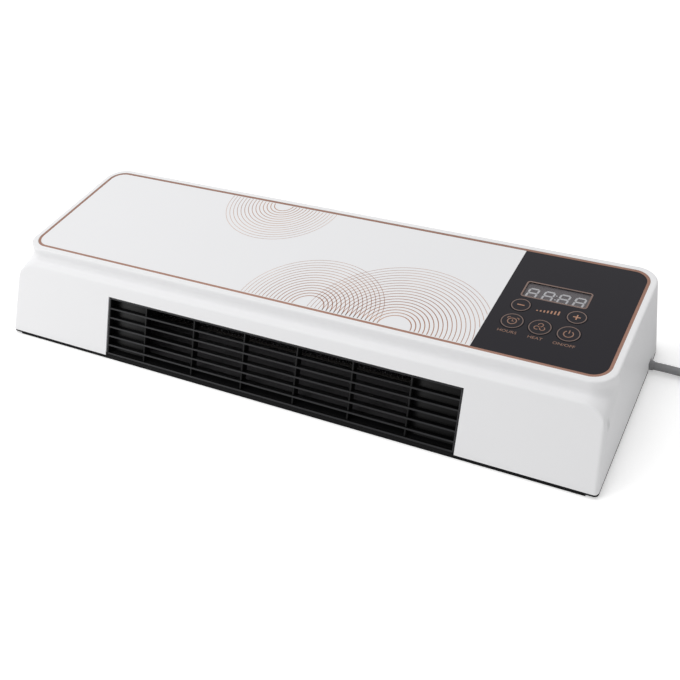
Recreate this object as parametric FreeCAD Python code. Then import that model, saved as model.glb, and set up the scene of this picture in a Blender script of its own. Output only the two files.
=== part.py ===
import FreeCAD, Part
import math
import os

# A wall-mounted fan heater, lying on its back plate as it is shown.
# +X runs along its length, -Y is the side with the warm air outlet, and +Z points away from the wall.
# The origin is on the back face, in the middle of the base. All lengths are in millimetres.

V = FreeCAD.Vector
X_AXIS = V(1, 0, 0)
Y_AXIS = V(0, 1, 0)
Z_AXIS = V(0, 0, 1)

# Casing
base_length = 491.0
end_draft = 4.5
base_depth = 163.4
casing_bottom = 4.0
panel_height = 64.0
rim_proud = 0.2
wall = 2.5
roof = 2.5
fascia_lean = 27.4
back_draft = 0.1
back_corner = 17.0
front_corner = 3.0
bezel_setback = 36.1
bezel_corner = 17.0
bezel_runout = 0.6
ledge_drop = 8.5
ledge_fall = 0.08
pad_corner = 14.0
pad_runout = 0.3
shoulder_round = 2.0
cove_round = 4.0
rim_round = 1.4

# Printed panel, control panel and trim line
rim_width = 5.8
panel_corner = 12.0
panel_thickness = 1.6
trim_width = 2.1
control_trim_width = 2.1
trim_proud = 0.05
panel_gap = 0.1
control_width = 101.4

# Keys: name, distance from the right end, distance in Y from the panel's middle, radius of the printed ring
key_places = [
    ("timer", 84.1, -23.15, 7.3),
    ("mode", 64.6, -23.45, 7.3),
    ("power", 44.9, -23.75, 7.3),
    ("minus", 84.3, -4.95, 6.25),
    ("plus", 44.9, -5.55, 6.25),
]
key_border = 0.8
key_gap = 0.3
key_flange = 0.8
key_flange_height = 1.2
key_proud = 0.25
key_stem_radius = 2.0
key_travel = 0.5
plunger_radius = 1.7
plunger_length = 5.0
switch_side = 11.6
switch_height = 4.3
switch_floor = 0.8
switch_bore_gap = 0.3

# Display
window_length = 46.0
window_depth = 17.0
window_from_end = 65.0
window_y = 13.95
window_thickness = 1.0
display_gap = 0.1
display_height = 12.9

# Boards
board_thickness = 1.6
control_board_from_end = 19.5
control_board_length = 74.0
control_board_depth = 78.0
control_board_shift = -4.95
board_inset = 5.5
board_opening_margin = 1.4
post_radius = 3.2
power_board_from_end = 21.5
power_board_length = 68.0
power_board_depth = 86.0
power_board_from_back = 47.7
power_board_lift = 8.0

# Screws: shank radius, head radius, head height
screw_shank = 1.4
screw_head = 2.8
screw_head_height = 1.9
casing_screw_shank = 1.5
casing_screw_head = 3.1
casing_screw_length = 16.0
screw_clearance = 0.1
board_screw_length = 7.0
boss_radius = 4.0
end_boss_inset = 13.0
front_boss_inset = 9.7
corner_boss_inset = 19.5
back_boss_inset = 13.5

# Back plate
plate_inset = 0.1
plate_thickness = 2.5
pad_from_end = 8.0
pad_from_back = 11.7
rib_height = 4.0
rib_thickness = 2.0
rib_gap = 0.4
keyhole_from_end = 80.5
keyhole_from_back = 41.7
keyhole_entry_radius = 4.5
keyhole_slot_width = 4.6
keyhole_slot_length = 12.0

# Outlet grille
outlet_from_end = 97.5
outlet_drop = 18.3
outlet_gap = 0.3
grille_recess = 0.7
grille_depth = 7.5
grille_frame = 1.5
grille_flange = 3.0
grille_flange_thickness = 2.0
bar_count = 5
bar_pitch = 7.45
bar_first = 8.0
bar_thickness = 1.3
rib_count = 6
rib_end_bay = 36.5
rib_shift = -0.9
rib_width = 1.3
rib_recess = 1.0
blank_thickness = 1.2

# Air inlet in the back wall
inlet_pitch = 8.0
inlet_width = 4.0
inlet_above_base = 12.0
inlet_below_ceiling = 5.9

# Air duct
duct_narrower = 3.0
duct_wall = 2.0
duct_over_outlet = 0.5
duct_front_gap = 0.8
roof_before_fan = 21.0
cheek_gap = 2.9
tab_size = 9.0

# Fan
fan_from_back = 45.7
fan_radius = 20.0
fan_end_gap = 5.0
scroll_gap = 7.0
scroll_end_angle = 20.0
blade_count = 24
blade_inner_radius = 13.2
blade_sweep = 22.0
blade_thickness = 0.9
fan_disc_thickness = 1.6
fan_disc_count = 5
fan_hub_radius = 9.0
fan_hub_length = 12.0
bush_radius = 6.0
fit_gap = 0.05
stub_radius = 2.5
motor_shaft_radius = 2.0

# Fan motor and bearing
motor_radius = 21.0
motor_length = 30.0
motor_wall = 1.0
mount_length = 9.0
mount_radius = 4.0
mount_circle = 15.0
mount_count = 3
stator_inner_radius = 11.0
stator_shorter = 2.0
rotor_gap = 0.5
rotor_end_gap = 1.0
motor_bearing_radius = 4.0
motor_bearing_length = 5.0
bearing_radius = 5.0
bearing_length = 7.0
grommet_radius = 8.0
grommet_flange = 10.5
grommet_lip = 2.0

# Heater bank
heater_before_fan = 52.0
heater_depth = 16.0
heater_end_gap = 5.0
heater_clearance = 0.5
heater_rail = 3.0
heater_end = 10.0
fin_rows = 3
fin_pitch = 3.2
fin_thickness = 0.4
element_height = 4.0
terminal_width = 6.3
terminal_thickness = 0.8
terminal_length = 16.0
terminal_steps = (10.0, 19.0, 28.0)
wire_radius = 1.3
cutout_from_cheek = 50.0
cutout_behind_bezel = 21.6
cutout_radius = 8.0

# Mains cord, its gland, coil and plug
cord_diameter = 6.0
cord_floor = 4.0
exit_from_back = 33.2
exit_above_base = 1.0
gland_length = 25.0
gland_outside = 2.5
gland_big_radius = 4.6
gland_small_radius = 3.5
gland_gap = 0.3
gland_head_length = 6.0
gland_head_half = 6.0
gland_head_top = 11.0
gland_head_bottom = 0.6
clamp_from_end = 41.5
clamp_width = 8.0
clamp_half_span = 12.0
clamp_thickness = 3.0
clamp_post_radius = 3.0
inner_lead_lift = 3.5
coil_from_end = 69.5
coil_turns = 6
coil_layers = 2
coil_pitch = 6.5
coil_middle_radius = 35.4
cord_reach = (18.5, 34.5, 49.5)
cord_drift = (0.0, -1.1, -2.5)
tail_reach = (18.0, 35.0)
tail_drift = -0.6
tie_width = 8.0
tie_thickness = 0.6
tie_gap = 0.3
plug_past_coil = 52.0
plug_lift = 0.3
plug_boot_length = 22.0
plug_boot_radius = 4.2
plug_neck_radius = 6.5
plug_length = 38.0
plug_width = 36.0
plug_height = 25.0
pin_radius = 2.4
pin_length = 19.0
pin_spacing = 19.0

# Values that follow from the sizes above
right_end = base_length / 2
half_depth = base_depth / 2
top_length = base_length - 2 * end_draft
casing_top = panel_height + rim_proud
bezel_front = -half_depth + bezel_setback
ledge_height = panel_height - ledge_drop
lean = math.radians(fascia_lean)
fascia_slope = math.tan(lean)
panel_seat = panel_height - panel_thickness
ceiling = panel_seat - roof
panel_y = (bezel_front + half_depth - back_draft) / 2
panel_length = top_length - 2 * rim_width
panel_depth = half_depth - back_draft - bezel_front - 2 * rim_width
control_edge = right_end - control_width
keys = [(name, right_end - from_end, y, ring) for name, from_end, y, ring in key_places]
window_x = right_end - window_from_end
display_top = panel_height - window_thickness - display_gap
control_board_top = display_top - display_height
control_board_right = right_end - control_board_from_end
control_board_left = control_board_right - control_board_length
control_board_front = panel_y + control_board_shift - control_board_depth / 2
control_board_back = control_board_front + control_board_depth
power_board_right = right_end - power_board_from_end
power_board_left = power_board_right - power_board_length
power_board_back = half_depth - power_board_from_back
power_board_front = power_board_back - power_board_depth
plate_bottom = casing_bottom - plate_thickness
pad_half_length = right_end - pad_from_end
pad_back = half_depth - pad_from_back
keyhole_x = right_end - keyhole_from_end
keyhole_y = half_depth - keyhole_from_back
outlet_half_width = right_end - outlet_from_end
outlet_top = panel_height - outlet_drop
rib_pitch = 2 * (outlet_half_width - rib_end_bay) / (rib_count - 1)
duct_half_width = outlet_half_width - duct_narrower
duct_floor = casing_bottom + duct_wall
duct_roof_seat = outlet_top + duct_over_outlet
inlet_count = int(2 * (duct_half_width - duct_narrower) / inlet_pitch)
inlet_bottom = casing_bottom + inlet_above_base
inlet_top = ceiling - inlet_below_ceiling
fan_half = duct_half_width - fan_end_gap
fan_length = 2 * fan_half
fan_y = half_depth - fan_from_back
fan_z = duct_floor + scroll_gap + fan_radius
rotor_length = motor_length - 2 * motor_bearing_length - 2 * rotor_end_gap
stator_length = rotor_length - stator_shorter
roof_back = fan_y - roof_before_fan
cheek_top = ceiling - cheek_gap
heater_back = fan_y - heater_before_fan
heater_half_length = duct_half_width - heater_end_gap
terminal_heights = [duct_floor + step for step in terminal_steps]
cutout_x = duct_half_width - cutout_from_cheek
cutout_y = bezel_front + cutout_behind_bezel
exit_y = half_depth - exit_from_back
exit_z = casing_bottom + exit_above_base
clamp_x = right_end - clamp_from_end
inner_lead_z = casing_bottom + inner_lead_lift
gland_end = right_end + gland_outside
coil_x = right_end + coil_from_end
coil_start_y = exit_y + cord_drift[-1]
coil_end_z = cord_floor + coil_pitch * (coil_layers - 1)
plug_x = coil_x + plug_past_coil
plug_y = coil_start_y + tail_drift
plug_z = plug_height / 2 + plug_lift
coil_y = coil_start_y + coil_middle_radius + coil_pitch * coil_turns / coil_layers / 2
cord_radius = cord_diameter / 2


# Basic shapes

def box(x0, x1, y0, y1, z0, z1):
    return Part.makeBox(x1 - x0, y1 - y0, z1 - z0, V(x0, y0, z0))


def rod(start, axis, radius, length):
    return Part.makeCylinder(radius, length, V(*start), axis)


def tube_ring(start, axis, outer, inner, length):
    return rod(start, axis, outer, length).cut(rod(start, axis, inner, length))


def side_prism(points, x0, x1):
    """A YZ polygon drawn out along X."""
    corners = [V(x0, y, z) for y, z in points]
    face = Part.Face(Part.makePolygon(corners + corners[:1]))
    return face.extrude(V(x1 - x0, 0, 0))


def quarter(centre, radius, first_angle, z):
    points = []
    for step in (0, 45, 90):
        angle = math.radians(first_angle + step)
        points.append(V(centre[0] + radius * math.cos(angle), centre[1] + radius * math.sin(angle), z))
    return Part.Arc(*points).toShape()


def rounded_outline(x0, x1, y0, y1, front_radius, back_radius, z):
    """A level rectangle whose front and back corners have their own radii."""
    f, b = front_radius, back_radius
    edges = [Part.makeLine(V(x0 + f, y0, z), V(x1 - f, y0, z))]
    if f > 0:
        edges.append(quarter((x1 - f, y0 + f), f, -90, z))
    edges.append(Part.makeLine(V(x1, y0 + f, z), V(x1, y1 - b, z)))
    edges.append(quarter((x1 - b, y1 - b), b, 0, z))
    edges.append(Part.makeLine(V(x1 - b, y1, z), V(x0 + b, y1, z)))
    edges.append(quarter((x0 + b, y1 - b), b, 90, z))
    edges.append(Part.makeLine(V(x0, y1 - b, z), V(x0, y0 + f, z)))
    if f > 0:
        edges.append(quarter((x0 + f, y0 + f), f, 180, z))
    return Part.Wire(edges)


def slab(outline, height):
    return Part.Face(outline).extrude(V(0, 0, height))


def group(shapes):
    return Part.makeCompound(shapes)


def cut_each(shape, tools):
    """Takes the tools away one after the other, for tools that overlap each other."""
    for tool in tools:
        shape = shape.cut(tool)
    return shape


def screw(seat, direction, shank, head, head_height, length):
    """A pan head screw with a cross slot; seat is the point under its head, direction points to its tip."""
    x, y, z = seat
    back = V(*seat) - direction * head_height
    body = Part.makeCylinder(head, head_height, back, direction)
    slot_half, slot_width, slot_depth = head * 0.55, head * 0.2, head_height * 0.5
    for across in (False, True):
        long_half, short_half = (slot_half, slot_width / 2) if across else (slot_width / 2, slot_half)
        cut = Part.makeBox(2 * long_half, 2 * short_half, slot_depth, V(-long_half, -short_half, 0))
        cut.Placement = FreeCAD.Placement(back, FreeCAD.Rotation(Z_AXIS, direction))
        body = body.cut(cut)
    return body.fuse(Part.makeCylinder(shank, length, V(x, y, z), direction))


def tube_path(points, shares=0.45):
    """Straight runs joined by the largest tangent arcs; returns the wire and the arcs' radii."""
    corners = [V(*p) for p in points]
    edges, radii = [], []
    last = corners[0]
    for before, corner, after in zip(corners, corners[1:], corners[2:]):
        into = (corner - before).normalize()
        out = (after - corner).normalize()
        turn = into.getAngle(out)
        reach = shares * min(corner.distanceToPoint(before), corner.distanceToPoint(after))
        radius = reach / math.tan(turn / 2)
        first = corner - into * reach
        second = corner + out * reach
        inward = (out - into).normalize()
        middle = corner + inward * (radius / math.cos(turn / 2) - radius)
        edges.append(Part.makeLine(last, first))
        edges.append(Part.Arc(first, middle, second).toShape())
        radii.append(radius)
        last = second
    edges.append(Part.makeLine(last, corners[-1]))
    return Part.Wire(edges), radii


def tube(name, points, radius):
    """A round cord or wire along a route, with its radii and volume printed."""
    path, radii = tube_path(points)
    start = V(*points[0])
    direction = (V(*points[1]) - start).normalize()
    profile = Part.Wire(Part.makeCircle(radius, start, direction))
    solid = path.makePipeShell([profile], True, False)
    expected = math.pi * radius ** 2 * path.Length
    print(name, "length", round(path.Length, 1), "radii", [round(r, 1) for r in radii],
          "volume over section times length", round(solid.Volume / expected, 4))
    return solid


# The casing's form

def end_half(z):
    rise = (z - casing_bottom) / (casing_top - casing_bottom)
    return base_length / 2 - (base_length - top_length) / 2 * rise


def back_edge(z):
    return half_depth - back_draft * (z - casing_bottom) / (casing_top - casing_bottom)


def fascia_y(z):
    return -half_depth + fascia_slope * (z - casing_bottom)


def ledge_level(y, inset):
    return ledge_height - inset + ledge_fall * (y - bezel_front)


def pad_half(y, inset):
    """Half the length of the ledge with its round ends, which run out in the casing's ends."""
    return end_half(ledge_level(y, inset) - pad_corner + inset) - inset + pad_runout


def ledge_z(x, y):
    """Height of the ledge in front of the rim; its ends turn down in round corners."""
    level = ledge_level(y, 0)
    past = abs(x) - (pad_half(y, 0) - pad_corner)
    if past <= 0:
        return level
    return level - pad_corner + math.sqrt(max(pad_corner ** 2 - past ** 2, 0.0))


def ledge_profile(y, inset):
    """What lies below the ledge, as an outline across the casing."""
    level, half, radius = ledge_level(y, inset), pad_half(y, inset), pad_corner - inset
    side_top = level - radius
    left, right = -half + radius, half - radius
    far, bottom = base_length, -base_depth

    def on_arc(centre_x, angle):
        a = math.radians(angle)
        return V(centre_x + radius * math.cos(a), y, side_top + radius * math.sin(a))

    return Part.Wire([
        Part.makeLine(V(-far, y, bottom), V(-far, y, side_top)),
        Part.makeLine(V(-far, y, side_top), V(-half, y, side_top)),
        Part.Arc(on_arc(left, 180), on_arc(left, 135), on_arc(left, 90)).toShape(),
        Part.makeLine(V(left, y, level), V(right, y, level)),
        Part.Arc(on_arc(right, 90), on_arc(right, 45), on_arc(right, 0)).toShape(),
        Part.makeLine(V(half, y, side_top), V(far, y, side_top)),
        Part.makeLine(V(far, y, side_top), V(far, y, bottom)),
        Part.makeLine(V(far, y, bottom), V(-far, y, bottom)),
    ])


def ledge_cutter(inset):
    """All that lies above the ledge and outside the rim."""
    y0, y1 = -base_depth, bezel_front + bezel_corner
    below = Part.makeLoft([ledge_profile(y0, inset), ledge_profile(y1, inset)], True, True)
    around = box(-base_length, base_length, y0, y1, -base_depth, base_depth)
    rim_half = top_length / 2 + bezel_runout - inset
    rim_outline = rounded_outline(-rim_half, rim_half, bezel_front + inset, base_depth,
                                  bezel_corner - inset, bezel_corner - inset, -base_depth)
    return around.cut(below).cut(slab(rim_outline, 2 * base_depth))


def casing_block(inset, z0, z1):
    """Drafted ends, straight back and leaning fascia, before the ledge is cut."""
    outlines = []
    for z in (z0, z1):
        half = end_half(z) - inset
        outlines.append(rounded_outline(-half, half, -base_depth, back_edge(z) - inset, 0,
                                        back_corner - inset, z))
    block = Part.makeLoft(outlines, True, True)
    step = inset / math.cos(lean)
    wedge = side_prism([(fascia_y(z0) + step, z0), (fascia_y(z1) + step, z1), (base_depth, z1),
                        (base_depth, z0)],
                       -base_length, base_length)
    return block.common(wedge)


def edges_where(shape, test):
    return [e for e in shape.Edges if all(test(p) for p in e.discretize(5))]


def casing_outside():
    tolerance = 0.02
    form = casing_block(0, casing_bottom, casing_top)

    def on_fascia(p):
        return abs(p.y - fascia_y(p.z)) < tolerance

    def on_ledge(p):
        return abs(p.z - ledge_z(p.x, p.y)) < tolerance

    corners = edges_where(form, lambda p: on_fascia(p) and abs(abs(p.x) - end_half(p.z)) < tolerance)
    form = form.makeFillet(front_corner, corners)
    form = form.cut(ledge_cutter(0))
    form = form.makeFillet(shoulder_round, edges_where(form, lambda p: on_fascia(p) and on_ledge(p)))
    flat_half = pad_half(bezel_front, 0) - pad_corner + tolerance
    cove = edges_where(form, lambda p: on_ledge(p) and abs(p.y - bezel_front) < tolerance
                       and abs(p.x) < flat_half)
    form = form.makeFillet(cove_round, cove)
    return form.makeFillet(rim_round, edges_where(form, lambda p: abs(p.z - casing_top) < tolerance))


def on_fascia_frame(shape):
    """Turns a shape drawn flat, with Y up the fascia and Z out of it, into its place on the fascia."""
    turned = shape.copy()
    turned.Placement = FreeCAD.Placement(V(0, -half_depth, casing_bottom),
                                         FreeCAD.Rotation(X_AXIS, 90 - fascia_lean))
    return turned


def fascia_length(z):
    return (z - casing_bottom) / math.cos(lean)


boss_places = [
    (side * x, y)
    for side in (-1, 1)
    for x, y in (
        (right_end - end_boss_inset, bezel_front + front_boss_inset),
        (right_end - end_boss_inset, half_depth - corner_boss_inset),
        (duct_half_width + duct_wall + 2 * boss_radius, half_depth - back_boss_inset),
    )
]
control_posts = [
    (x, y)
    for x in (control_board_left + board_inset, control_board_right - board_inset)
    for y in (control_board_front + board_inset - 0.5, control_board_back - board_inset + 0.5)
]
power_posts = [
    (x, y)
    for x in (power_board_left + board_inset - 1.5, power_board_right - board_inset + 1.5)
    for y in (power_board_front + board_inset - 1.5, power_board_back - board_inset + 1.5)
]
scroll_tabs = [
    (side * (duct_half_width + duct_wall + tab_size / 2), y)
    for side in (-1, 1)
    for y in (heater_back - 1.75 * heater_depth, heater_back + 0.75 * heater_depth)
]


def key_radius(ring):
    return ring + key_border


def control_opening():
    """The hole in the roof below the keys and the display."""
    largest = max(key_radius(ring) + key_flange for _, _, _, ring in keys)
    left = min(x for _, x, _, _ in keys) - largest - board_opening_margin
    right = max(x for _, x, _, _ in keys) + largest + board_opening_margin
    front = panel_y + min(y for _, _, y, _ in keys) - largest - board_opening_margin
    back = panel_y + window_y + window_depth / 2 + board_opening_margin
    return left, right, front, back


def panel_outline(grow, z, thickness):
    half_x = panel_length / 2 + grow
    half_y = panel_depth / 2 + grow
    radius = panel_corner + grow
    outline = rounded_outline(-half_x, half_x, panel_y - half_y, panel_y + half_y, radius, radius, z)
    return slab(outline, thickness)


def front_casing():
    outside = casing_outside()
    inside = casing_block(wall, casing_bottom - wall, ceiling).cut(ledge_cutter(wall))
    shell = outside.cut(inside)
    extras = [rod((x, y, casing_bottom), Z_AXIS, boss_radius, casing_top) for x, y in boss_places]
    extras += [rod((x, y, control_board_top), Z_AXIS, post_radius, casing_top) for x, y in control_posts]
    trimmed = [extra.common(casing_block(wall / 2, casing_bottom, panel_seat).cut(ledge_cutter(wall / 2)))
               for extra in extras]
    shell = shell.multiFuse(trimmed)
    cuts = [rod((x, y, casing_bottom), Z_AXIS, casing_screw_shank + screw_clearance, casing_screw_length)
            for x, y in boss_places]
    cuts += [rod((x, y, control_board_top), Z_AXIS, screw_shank + screw_clearance, board_screw_length)
             for x, y in control_posts]
    top = fascia_length(outlet_top)
    opening = box(-outlet_half_width, outlet_half_width, -base_depth, top, -3 * wall, 3 * wall)
    cuts.append(on_fascia_frame(opening))
    cuts.append(panel_outline(trim_width / 2 + panel_gap, panel_seat, base_depth))
    left, right, front, back = control_opening()
    cuts.append(box(left, right, front, back, ceiling - roof, panel_seat + roof))
    first = -inlet_pitch * (inlet_count - 1) / 2
    for i in range(inlet_count):
        middle = first + i * inlet_pitch
        cuts.append(box(middle - inlet_width / 2, middle + inlet_width / 2,
                        half_depth - 2 * wall, half_depth + wall, inlet_bottom, inlet_top))
    cuts.append(gland_form(gland_gap))
    return shell.cut(cuts)


# Panel pieces

def trim_inside(gap):
    """The outline within the trim line, narrower round the control panel."""
    white = panel_outline(-trim_width / 2 - gap, panel_seat, 2 * panel_thickness)
    black = panel_outline(trim_width / 2 - control_trim_width - gap, panel_seat, 2 * panel_thickness)
    left = box(-base_length, control_edge, -base_depth, base_depth, 0, 2 * panel_height)
    right = box(control_edge, base_length, -base_depth, base_depth, 0, 2 * panel_height)
    return white.common(left), black.common(right)


def copper_trim():
    line = panel_outline(trim_width / 2, panel_seat, panel_thickness + trim_proud)
    white, black = trim_inside(0)
    return line.cut(white).cut(black)


def decor_panel():
    white, _ = trim_inside(panel_gap)
    limit = box(-base_length, control_edge - panel_gap / 2, -base_depth, base_depth, 0, panel_height)
    return white.common(limit)


def window_block(gap, z0, z1):
    """What fills the window's hole in the control panel, between two heights."""
    half_x = window_length / 2 - gap
    half_y = window_depth / 2 - gap
    y = panel_y + window_y
    return box(window_x - half_x, window_x + half_x, y - half_y, y + half_y, z0, z1)


def control_panel():
    _, black = trim_inside(panel_gap)
    limit = box(control_edge + panel_gap / 2, base_length, -base_depth, base_depth, 0, panel_height)
    holes = [window_block(0, 0, 2 * panel_height)]
    for _, x, y, ring in keys:
        holes.append(rod((x, panel_y + y, 0), Z_AXIS, key_radius(ring) + key_gap, 2 * panel_height))
    return black.common(limit).cut(holes)


def display_window():
    return window_block(panel_gap, panel_height - window_thickness, panel_height)


def display_module():
    return window_block(panel_gap + display_gap, control_board_top, display_top)


def key_cap(x, y, ring):
    radius = key_radius(ring)
    place = panel_y + y
    cap = rod((x, place, panel_seat), Z_AXIS, radius, panel_thickness + key_proud)
    flange = rod((x, place, panel_seat - key_flange_height), Z_AXIS, radius + key_flange, key_flange_height)
    stem_bottom = control_board_top + plunger_seat() + plunger_length
    stem = rod((x, place, stem_bottom), Z_AXIS, key_stem_radius, panel_seat - stem_bottom)
    return cap.fuse(flange).fuse(stem)


def plunger_seat():
    return switch_floor + key_travel + switch_bore_gap


def key_plunger(x, y):
    return rod((x, panel_y + y, control_board_top + plunger_seat()), Z_AXIS, plunger_radius, plunger_length)


def switch_bodies():
    bodies = []
    for _, x, y, _ in keys:
        place = panel_y + y
        half = switch_side / 2
        body = box(x - half, x + half, place - half, place + half, control_board_top,
                   control_board_top + switch_height)
        bore = rod((x, place, control_board_top + switch_floor), Z_AXIS, plunger_radius + switch_bore_gap,
                   switch_height)
        bodies.append(body.cut(bore))
    return group(bodies)


def control_board():
    board = box(control_board_left, control_board_right, control_board_front, control_board_back,
                control_board_top - board_thickness, control_board_top)
    holes = [rod((x, y, 0), Z_AXIS, screw_shank + screw_clearance, casing_top) for x, y in control_posts]
    return board.cut(holes)


def ir_receiver():
    x = window_x + window_length / 2 + 3.5
    y = panel_y + window_y
    foot = box(x - 2.5, x + 2.5, y - 2.0, y + 2.0, control_board_top, control_board_top + 7.0)
    lens = rod((x, y, control_board_top + 7.0), Z_AXIS, 1.6, 1.2)
    return foot.fuse(lens)


# Back plate

def plate_outline(inset, z):
    return rounded_outline(-base_length / 2 + inset, base_length / 2 - inset, -half_depth + inset,
                           half_depth - inset,
                           front_corner, back_corner - inset, z)


def keyhole(x):
    entry = rod((x, keyhole_y, -casing_bottom), Z_AXIS, keyhole_entry_radius, 3 * casing_bottom)
    half = keyhole_slot_width / 2
    slot = box(x - half, x + half, keyhole_y, keyhole_y + keyhole_slot_length, -casing_bottom,
               2 * casing_bottom)
    end = rod((x, keyhole_y + keyhole_slot_length, -casing_bottom), Z_AXIS, half, 3 * casing_bottom)
    return entry.fuse(slot).fuse(end)


def rear_plate():
    plate = slab(plate_outline(plate_inset, plate_bottom), plate_thickness)
    pad = box(-pad_half_length, pad_half_length, -half_depth + plate_inset, pad_back, 0, plate_bottom)
    clear = wall + rib_gap
    ring_out = slab(plate_outline(clear, casing_bottom), rib_height)
    ring_in = slab(plate_outline(clear + rib_thickness, casing_bottom), rib_height)
    outlet_side = box(-base_length, base_length, -base_depth, bezel_front, 0, panel_height)
    rib = ring_out.cut(ring_in).cut(outlet_side)
    rib = rib.common(casing_block(clear, casing_bottom, ceiling))
    gap_at_cord = box(0, base_length, exit_y - 2 * gland_head_half, exit_y + 2 * gland_head_half, 0,
                      panel_height)
    rib = rib.cut(gap_at_cord)
    bosses_clear = [rod((x, y, casing_bottom), Z_AXIS, boss_radius + rib_gap, rib_height)
                    for x, y in boss_places]
    rib = rib.cut(bosses_clear)
    posts = [rod((x, y, casing_bottom), Z_AXIS, post_radius, power_board_lift) for x, y in power_posts]
    posts += [rod((clamp_x, exit_y + side * clamp_post_offset(), casing_bottom), Z_AXIS, clamp_post_radius,
                  clamp_seat() - casing_bottom) for side in (-1, 1)]
    body = plate.multiFuse([pad] + rib.Solids + posts)
    cuts = [keyhole(side * keyhole_x) for side in (-1, 1)]
    for x, y in boss_places:
        cuts.append(rod((x, y, 0), Z_AXIS, casing_screw_shank + 2 * screw_clearance, 2 * casing_bottom))
        cuts.append(rod((x, y, 0), Z_AXIS, casing_screw_head + 2 * screw_clearance, casing_screw_seat()))
    for x, y in power_posts:
        cuts.append(rod((x, y, casing_bottom), Z_AXIS, screw_shank + screw_clearance, power_board_lift))
    for side in (-1, 1):
        cuts.append(rod((clamp_x, exit_y + side * clamp_post_offset(), casing_bottom), Z_AXIS,
                        screw_shank + screw_clearance, clamp_seat()))
    for x, y in scroll_tabs:
        cuts.append(rod((x, y, plate_bottom), Z_AXIS, screw_shank + screw_clearance, plate_thickness))
    cuts.append(gland_form(gland_gap))
    cuts.append(gland_head(gland_gap))
    cuts.append(gland_way())
    return cut_each(body, cuts)


def casing_screw_seat():
    return plate_bottom + plate_thickness / 2


def casing_screws():
    return group([screw((x, y, casing_screw_seat()), Z_AXIS, casing_screw_shank, casing_screw_head,
                        screw_head_height, casing_screw_length - plate_thickness) for x, y in boss_places])


# Outlet grille

def outlet_grille():
    half = outlet_half_width - outlet_gap
    top = fascia_length(outlet_top) - outlet_gap
    bottom = outlet_gap
    deep = -grille_recess - grille_depth
    frame = box(-half, half, bottom, top, deep, -grille_recess)
    inner = box(-half + grille_frame, half - grille_frame, bottom + grille_frame, top - grille_frame,
                deep, -grille_recess)
    frame = frame.cut(inner)
    flange_face = -wall
    flange_back = flange_face - grille_flange_thickness
    flange = box(-half - grille_flange, half + grille_flange, bottom, top + grille_flange, flange_back,
                 flange_face)
    flange = flange.cut(box(-half, half, bottom, top, flange_back, flange_face))
    pieces = [flange]
    for i in range(bar_count):
        v = bar_first + i * bar_pitch
        pieces.append(box(-half, half, v - bar_thickness / 2, v + bar_thickness / 2, deep, -grille_recess))
    first = -rib_pitch * (rib_count - 1) / 2 + rib_shift
    last = first + rib_pitch * (rib_count - 1)
    for i in range(rib_count):
        u = first + i * rib_pitch
        pieces.append(box(u - rib_width / 2, u + rib_width / 2, bottom, top, deep,
                          -grille_recess - rib_recess))
    # The two end bays lie beside the heater and are closed at the back
    for u0, u1 in ((-half, first), (last, half)):
        pieces.append(box(u0, u1, bottom, top, deep, deep + blank_thickness))
    whole = frame.multiFuse(pieces).removeSplitter()
    above_plate = box(-base_length, base_length, -base_depth, base_depth, casing_bottom, panel_height)
    return on_fascia_frame(whole).common(above_plate)


def grille_back_y(z):
    """Where the back of the grille's frame lies at a height."""
    return fascia_y(z) + (grille_recess + grille_depth + duct_front_gap) / math.cos(lean)


# Air duct

def fan_scroll():
    inner = fan_radius + scroll_gap
    outer = inner + duct_wall
    x0, x1 = -duct_half_width - duct_wall, duct_half_width + duct_wall
    front = grille_back_y(casing_bottom + duct_wall)
    floor_z = fan_z - outer
    floor = box(x0, x1, front, fan_y, casing_bottom, duct_floor)
    drop = box(x0, x1, fan_y - duct_wall, fan_y, min(floor_z, casing_bottom),
               max(floor_z + duct_wall, duct_floor))
    curve = tube_ring((x0, fan_y, fan_z), X_AXIS, outer, inner, x1 - x0)
    wedge = [(fan_y, fan_z)]
    for angle in (-90, -45, 0, scroll_end_angle):
        a = math.radians(angle)
        wedge.append((fan_y + 2 * outer * math.cos(a), fan_z + 2 * outer * math.sin(a)))
    curve = curve.common(side_prism(wedge, x0, x1))
    cheek_shape = [
        (grille_back_y(casing_bottom), casing_bottom),
        (grille_back_y(duct_roof_seat), duct_roof_seat),
        (roof_back + 2 * fit_gap, duct_roof_seat),
        (roof_back + 2 * fit_gap, cheek_top),
        (fan_y + outer, cheek_top),
        (fan_y + outer, fan_z),
        (fan_y, casing_bottom),
    ]
    pieces = [drop, curve]
    behind_fan = box(x0, x1, fan_y, base_depth, 0, fan_z)
    for a, b in ((x0, x0 + duct_wall), (x1 - duct_wall, x1)):
        pieces.append(side_prism(cheek_shape, a, b))
        pieces.append(rod((a, fan_y, fan_z), X_AXIS, outer, b - a).common(behind_fan))
    for x, y in scroll_tabs:
        half = tab_size / 2
        pieces.append(box(x - half, x + half, y - half, y + half, casing_bottom, duct_floor))
    body = floor.multiFuse(pieces).removeSplitter()
    cuts = [
        rod((x0, fan_y, fan_z), X_AXIS, motor_shaft_radius + 4.0, 2 * duct_wall),
        rod((x1 - 2 * duct_wall, fan_y, fan_z), X_AXIS, grommet_radius, 3 * duct_wall),
    ]
    cuts += [rod((x0 - duct_wall, y, z), X_AXIS, screw_shank + screw_clearance, 3 * duct_wall)
             for y, z in mount_places()]
    y0 = heater_back - heater_depth / 2 - terminal_width / 2 - 1.5
    cuts.append(box(x1 - 2 * duct_wall, x1 + duct_wall, y0, y0 + terminal_width + 3.0,
                    min(terminal_heights) - 3.0, max(terminal_heights) + 3.0))
    cuts += [rod((x, y, 0), Z_AXIS, screw_shank + screw_clearance, panel_height) for x, y in scroll_tabs]
    return body.cut(cuts)


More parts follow.
